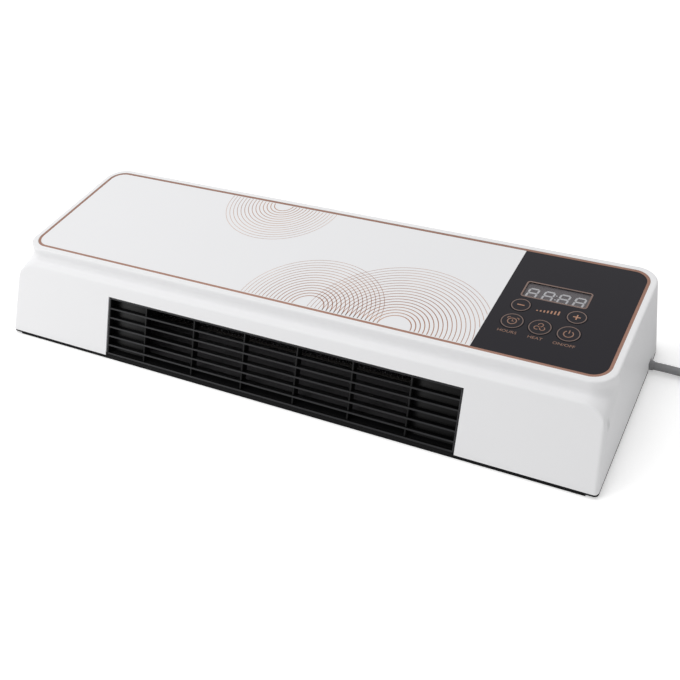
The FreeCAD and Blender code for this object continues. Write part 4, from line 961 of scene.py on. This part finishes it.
def strip(path, width, closed=False):
    """Points and faces of a flat line along a path, in the plane."""
    path = np.asarray(path, float)
    ahead = np.roll(path, -1, 0) - path
    behind = path - np.roll(path, 1, 0)
    if not closed:
        ahead[-1], behind[0] = behind[-1], ahead[0]
    along = unit(unit(ahead) + unit(behind))
    across = np.c_[-along[:, 1], along[:, 0]]
    mitre = 1 / np.maximum(0.5, (along * unit(ahead)).sum(1))[:, None]
    left, right = path + across * width / 2 * mitre, path - across * width / 2 * mitre
    count = len(path)
    pairs = [(i, (i + 1) % count) for i in range(count if closed else count - 1)]
    return np.r_[left, right], [(i, i + count, j + count, j) for i, j in pairs]


def arc(middle_x, middle_y, radius, start=0.0, sweep=360.0, count=48):
    turns = np.radians(np.linspace(start, start + sweep, count, endpoint=abs(sweep) < 360))
    return np.c_[middle_x + radius * np.cos(turns), middle_y + radius * np.sin(turns)]


def block(x0, y0, x1, y1):
    return [(x0, y0), (x1, y0), (x1, y1), (x0, y1)], [(0, 1, 2, 3)]


print("a ring of", len(arc(0, 0, 1)), "points becomes", len(strip(arc(0, 0, 1), 0.1, True)[1]), "faces")

# %% [markdown]
# Several flat shapes on one panel are one print, as they come from one pass of the press. They could
# stay flat, but a flat sheet on a face of the same height flickers. Solidify gives them the thickness
# of the ink.

# %% From flat shapes to a print
INK = 0.03
PANEL_TOP = solid_box("decor_panel")[1][2]


def printed(name, shapes, level, finish):
    """One ink piece from several flat shapes, lying on a level."""
    points, faces = [], []
    for flat, corners in shapes:
        faces += [tuple(i + len(points) for i in face) for face in corners]
        points += [(x, y, level) for x, y in flat]
    return thicken(raw_piece(name, points, faces, finish), INK, 1.0)


def ink_finish(name, thick, thin):
    """Ink that is brown where it lies thick and paler where it is thin."""
    material = moulding(name, thick, 0.34, 0.05, 600.0, 0.1, 0.004)
    tree = material.node_tree
    ramp = tree.nodes.new("ShaderNodeValToRGB")
    for stop, place, tone in zip(ramp.color_ramp.elements, (0.35, 0.65), (thick, thin)):
        stop.position = place
        stop.color = (*tone, 1)
    place = add_node(tree, "ShaderNodeTexCoord")["Object"]
    set_inputs(tree, ramp, {"Fac": noise(tree, place, 22.0, 2.0)})
    set_inputs(tree, tree.nodes["Principled BSDF"], {"Base Color": ramp.outputs["Color"]})
    return material


print("ink", INK, "mm thick, on a panel", PANEL_TOP, "mm high")

# %% [markdown]
# The white panel carries a fine line decoration in copper ink, a plain pattern of ripples: three
# families of rings, each round its own middle. The rings could be strips from a loop. A tree that
# copies one ring with a growing radius and sweeps it with a flat profile makes the number of rings,
# their spacing and the line's width into inputs. Later rings get a finer line and fade out.

# %% Tree that draws ripples
RING_POINTS = 180


def ripple_tree():
    tree, sockets, given = geometry_tree("ripples", (
        ("Base", "Geometry"), ("Rings", "Int"), ("First Radius", "Float"), ("Spacing", "Float"),
        ("Line Width", "Float"), ("Fade", "Float"), ("Finish", "Material"),
    ), "Ripples")

    def radius_of(number):
        return math_node(tree, "MULTIPLY_ADD", number, given["Spacing"], given["First Radius"])

    ring = add_node(tree, "GeometryNodeCurvePrimitiveCircle", {"Resolution": RING_POINTS, "Radius": 1.0})
    points = add_node(tree, "GeometryNodeMeshLine", {"Count": given["Rings"], "Offset": (0, 0, 0)})
    size = radius_of(add_node(tree, "GeometryNodeInputIndex")[0])
    copies = {"Points": points[0], "Instance": ring[0], "Scale": size}
    copied = add_node(tree, "GeometryNodeInstanceOnPoints", copies)[0]
    rings = add_node(tree, "GeometryNodeRealizeInstances", {"Geometry": copied})[0]
    place = add_node(tree, "GeometryNodeInputPosition")[0]
    thinning = add_node(tree, "ShaderNodeMapRange", {
        "Value": add_node(tree, "ShaderNodeVectorMath", {0: place}, "LENGTH")["Value"],
        "From Min": given["First Radius"],
        "From Max": radius_of(given["Rings"]),
        "To Min": 1.0,
        "To Max": given["Fade"],
    })["Result"]
    width = add_node(tree, "ShaderNodeCombineXYZ", {"X": given["Line Width"]})[0]
    profile = add_node(tree, "GeometryNodeCurvePrimitiveLine", {"Start": (0, 0, 0), "End": width})[0]
    sweep = {"Curve": rings, "Profile Curve": profile, "Scale": thinning}
    finish_tree(tree, add_node(tree, "GeometryNodeCurveToMesh", sweep)[0], given["Finish"])
    return tree, sockets


RIPPLE, RIPPLE_SOCKETS = ripple_tree()
print("tree", RIPPLE.name, "with inputs", list(RIPPLE_SOCKETS))

# %% [markdown]
# The rings are moved to their middles, cut off at the panel's margins and laid on the panel. They
# could be masked in a material instead, but then the exported mesh would still have them. Three
# middles on the margins keep the pattern open, with bare white on the left.

# %% Ripple print on the white panel
PRINT_LEFT, PRINT_RIGHT, PRINT_FRONT, PRINT_BACK = -232.0, 143.4, -38.0, 74.0
MARGINS = (
    ((PRINT_LEFT, 0, 0), (-1, 0, 0)), ((PRINT_RIGHT, 0, 0), (1, 0, 0)),
    ((0, PRINT_FRONT, 0), (0, -1, 0)), ((0, PRINT_BACK, 0), (0, 1, 0)),
)
RIPPLES = (
    # middle x, middle y, rings, first radius, spacing, line width, fade
    (88.0, PRINT_FRONT, 19, 12.0, 3.1, 0.75, 0.40),
    (20.0, PRINT_FRONT, 15, 12.0, 3.1, 0.70, 0.40),
    (-62.0, PRINT_BACK, 14, 8.0, 3.1, 0.70, 0.40),
)
INK_COPPER = ink_finish("ink_copper", (0.31, 0.120, 0.056), (0.55, 0.325, 0.215))


def ripple_piece(middle_x, middle_y, rings, first, spacing, width, fade):
    piece = raw_piece("ripple", [], [], INK_COPPER)
    tree = piece.modifiers.new("ripples", "NODES")
    tree.node_group = RIPPLE
    lengths = {"First Radius": first * MM, "Spacing": spacing * MM, "Line Width": width * MM}
    for label, value in {"Rings": rings, "Fade": fade, "Finish": INK_COPPER, **lengths}.items():
        tree[RIPPLE_SOCKETS[label]] = value
    settle(piece)
    piece.data.transform(Matrix.Translation(Vector((middle_x, middle_y, PANEL_TOP)) * MM))
    return cut_away(piece, MARGINS, close=False)


panel_print = merged("panel_print", [ripple_piece(*row) for row in RIPPLES], INK_COPPER)
hand_over(thicken(panel_print, INK, 1.0), "housing", "copper")

# %% [markdown]
# The five keys are marked with plain signs in copper ink: a clock, a fan, a power mark, a minus and a
# plus. Signs could come from a font, but few fonts have them all in one style. Each is drawn from
# lines and arcs of nearly the same width instead.

# %% Signs of the keys
SIGN_LINE, CROSS_LINE, CROSS_ARM = 0.72, 0.95, 2.6


def clock_sign(x, y):
    fine = SIGN_LINE * 0.8
    face = strip(arc(x, y - 0.2, 3.0), SIGN_LINE, True)
    hands = strip([(x, y + 1.5), (x, y - 0.3), (x + 1.3, y - 0.3)], fine)
    bells = [strip(arc(x + side * 2.9, y + 2.7, 1.0, -45 * side, 180, 12), fine) for side in (-1, 1)]
    return [face, hands, *bells]


def fan_sign(x, y):
    hub = strip(arc(x, y, 0.5, count=16), 0.4, True)
    blades = []
    for turn in (90, 210, 330):
        blade_x, blade_y = x + 2.2 * math.cos(math.radians(turn)), y + 2.2 * math.sin(math.radians(turn))
        blades.append(strip(arc(blade_x, blade_y, 1.7, turn - 200, 300, 24), SIGN_LINE * 0.9))
    return [*blades, hub]


def power_sign(x, y):
    ring = strip(arc(x, y - 0.3, 3.2, 125, 290, 40), SIGN_LINE)
    stroke = strip([(x, y + 3.6), (x, y + 0.3)], SIGN_LINE)
    return [ring, stroke]


def minus_sign(x, y):
    return [strip([(x - CROSS_ARM, y), (x + CROSS_ARM, y)], CROSS_LINE)]


def plus_sign(x, y):
    ends = [(y + side * CROSS_LINE / 2, y + side * CROSS_ARM) for side in (1, -1)]
    return minus_sign(x, y) + [strip([(x, near), (x, far)], CROSS_LINE) for near, far in ends]


print("lines of the signs:", SIGN_LINE, "and", CROSS_LINE, "mm wide")

# %% [markdown]
# Each key has a ring and its sign. All of them could be one print on the dark panel, but a sign that
# sits on a key has to sink with it. So each key gets its own pieces, which ride on the key's body,
# and the middle and the top of the key's solid say where they lie.

# %% Rings and signs on the keys
RING_LINE = 0.62
SIGN_COPPER = ink_finish("sign_copper", (0.33, 0.15, 0.085), (0.40, 0.20, 0.12))
WORD_COPPER = ink_finish("word_copper", (0.22, 0.11, 0.072), (0.28, 0.145, 0.095))
RING_COPPER = ink_finish("ring_copper", (0.135, 0.083, 0.067), (0.185, 0.115, 0.093))
KEYS = (
    # name, sign, ink of the sign, radius of the ring
    ("timer", clock_sign, WORD_COPPER, 7.3),
    ("mode", fan_sign, WORD_COPPER, 7.3),
    ("power", power_sign, WORD_COPPER, 7.3),
    ("minus", minus_sign, SIGN_COPPER, 6.25),
    ("plus", plus_sign, SIGN_COPPER, 6.25),
)

for key, sign, ink, radius in KEYS:
    _, (_, _, key_top), (key_x, key_y, _) = solid_box("key_" + key)
    circle = strip(arc(key_x, key_y, radius, count=72), RING_LINE, True)
    ring = printed("ring_" + key, [circle], key_top, RING_COPPER)
    hand_over(ring, "button_" + key, "copper")
    mark = printed("sign_" + key, sign(key_x, key_y), key_top, ink)
    hand_over(mark, "button_" + key, "copper")

# %% [markdown]
# Between the upper keys stand level marks, seven upright strokes that grow from left to right. The
# window has a rounded copper line on its edge. Both could be engraved, but on the real panel they are
# ink, so they are printed like the signs.

# %% Level marks and window frame
MARK_COUNT, MARKS_LEFT, MARK_STEP, MARKS_LOW = 7, 173.4, 2.45, 10.6
MARK_HALF, MARK_SHORTEST, MARK_GROWTH = 0.55, 1.1, 0.52
FRAME_LINE, FRAME_CORNER, FRAME_GAP, CORNER_POINTS = 1.15, 1.8, 0.1, 8


def level_marks():
    for number in range(MARK_COUNT):
        x = MARKS_LEFT + number * MARK_STEP
        top = MARKS_LOW + MARK_SHORTEST + number * MARK_GROWTH
        yield block(x - MARK_HALF, MARKS_LOW, x + MARK_HALF, top)


def window_edge():
    (left, front, _), (right, back, _), _ = solid_box("display_window")
    inset = FRAME_CORNER - FRAME_GAP
    turns = (
        (right - inset, front + inset, -90), (right - inset, back - inset, 0),
        (left + inset, back - inset, 90), (left + inset, front + inset, 180),
    )
    return np.vstack([arc(x, y, FRAME_CORNER, start, 90, CORNER_POINTS) for x, y, start in turns])


hand_over(printed("level_marks", level_marks(), PANEL_TOP, SIGN_COPPER), "housing", "copper")
window_line = strip(window_edge(), FRAME_LINE, True)
hand_over(printed("window_frame", [window_line], PANEL_TOP, RING_COPPER), "housing", "copper")

# %% [markdown]
# Plain words below three keys say what they do. Letters could be drawn as lines like the signs, but a
# text object already has good shapes. It is turned into a mesh before it is put in place, because the
# export wants its place in the mesh.

# %% Words below the keys
WORDS = (("HOURS", 161.7, -16.5), ("HEAT", 181.2, -16.9), ("ON/OFF", 200.8, -17.3))
WORD_SIZE, WORD_STRETCH = 3.7, 1.12


def word_piece(text, x, y):
    letters = bpy.data.curves.new(text, "FONT")
    letters.body = text
    letters.align_x, letters.align_y = "CENTER", "CENTER"
    letters.size = WORD_SIZE * MM
    letters.extrude = INK * MM / 2
    letters.resolution_u = 3
    holder = put_in_scene("letters", letters)
    bpy.context.view_layer.update()
    shown = holder.evaluated_get(bpy.context.evaluated_depsgraph_get())
    mesh = bpy.data.meshes.new_from_object(shown)
    bpy.data.objects.remove(holder)
    bpy.data.curves.remove(letters)
    mesh.transform(Matrix.Diagonal((WORD_STRETCH, 1, 1, 1)))
    mesh.transform(Matrix.Translation(Vector((x, y, PANEL_TOP + INK / 2)) * MM))
    return put_in_scene("word", mesh)


words = settle(merged("key_words", [word_piece(*word) for word in WORDS], WORD_COPPER))
hand_over(words, "housing", "copper")

# %% [markdown]
# Four figures of seven bars lie on the display module, under the smoked window. A font with such
# figures could be used, but on the real module each bar is its own little tile. So each bar is a flat
# six-cornered tile. The display is off, and the bars only show as pale grey plastic.

# %% Display figures
FIGURE_MIDDLES = (164.0, 175.2, 186.2, 197.2)
FIGURE_Y, FIGURE_WIDE, FIGURE_HIGH, FIGURE_SLANT = 29.6, 6.4, 9.6, 0.10
BAR_LINE, BAR_GAP = 1.4, 0.16
DOT_HALF, DOT_APART = 0.5, 2.2
FIGURE_TOP = solid_box("display_module")[1][2]
FIGURE_PALE = moulding("figure_pale", (0.82, 0.82, 0.85), 0.5, 0.04)


def tile(start, end):
    """A bar between two points with pointed ends."""
    along = np.sign(np.subtract(end, start))
    a, b = start + along * BAR_GAP, end - along * BAR_GAP
    across = np.array((-along[1], along[0])) * BAR_LINE / 2
    inset = along * BAR_LINE / 2
    outline = [a, a + inset - across, b - inset - across, b, b - inset + across, a + inset + across]
    return outline, [tuple(range(6))]


def figure(middle):
    wide, high = FIGURE_WIDE / 2, FIGURE_HIGH / 2
    level = [((-wide, up), (wide, up)) for up in (high, 0, -high)]
    upright = [((side, low), (side, low + high)) for low in (0, -high) for side in (-wide, wide)]
    for ends in level + upright:
        outline, face = tile(*ends)
        yield [(middle + x + y * FIGURE_SLANT, FIGURE_Y + y) for x, y in outline], face


shapes = [shape for middle in FIGURE_MIDDLES for shape in figure(middle)]
dots_x = sum(FIGURE_MIDDLES) / len(FIGURE_MIDDLES)
for dots_y in (FIGURE_Y - DOT_APART, FIGURE_Y + DOT_APART):
    shapes.append(block(dots_x - DOT_HALF, dots_y - DOT_HALF, dots_x + DOT_HALF, dots_y + DOT_HALF))
hand_over(printed("display_figures", shapes, FIGURE_TOP, FIGURE_PALE), "housing", "display")

# %% [markdown]
# The box of the dressed heater is found last, to set beside the box of its solids. The dressed heater
# has to stay in the box of its solids. The two boxes could be compared by eye in the viewport. Here
# both are kept side by side, and the dressed one is printed. Nothing is made after that.

# %% Sizes and the end
sizes = {"cad": cad_box, "visual": [list(corner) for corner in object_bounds()]}
print("dressed box:", sizes["visual"])
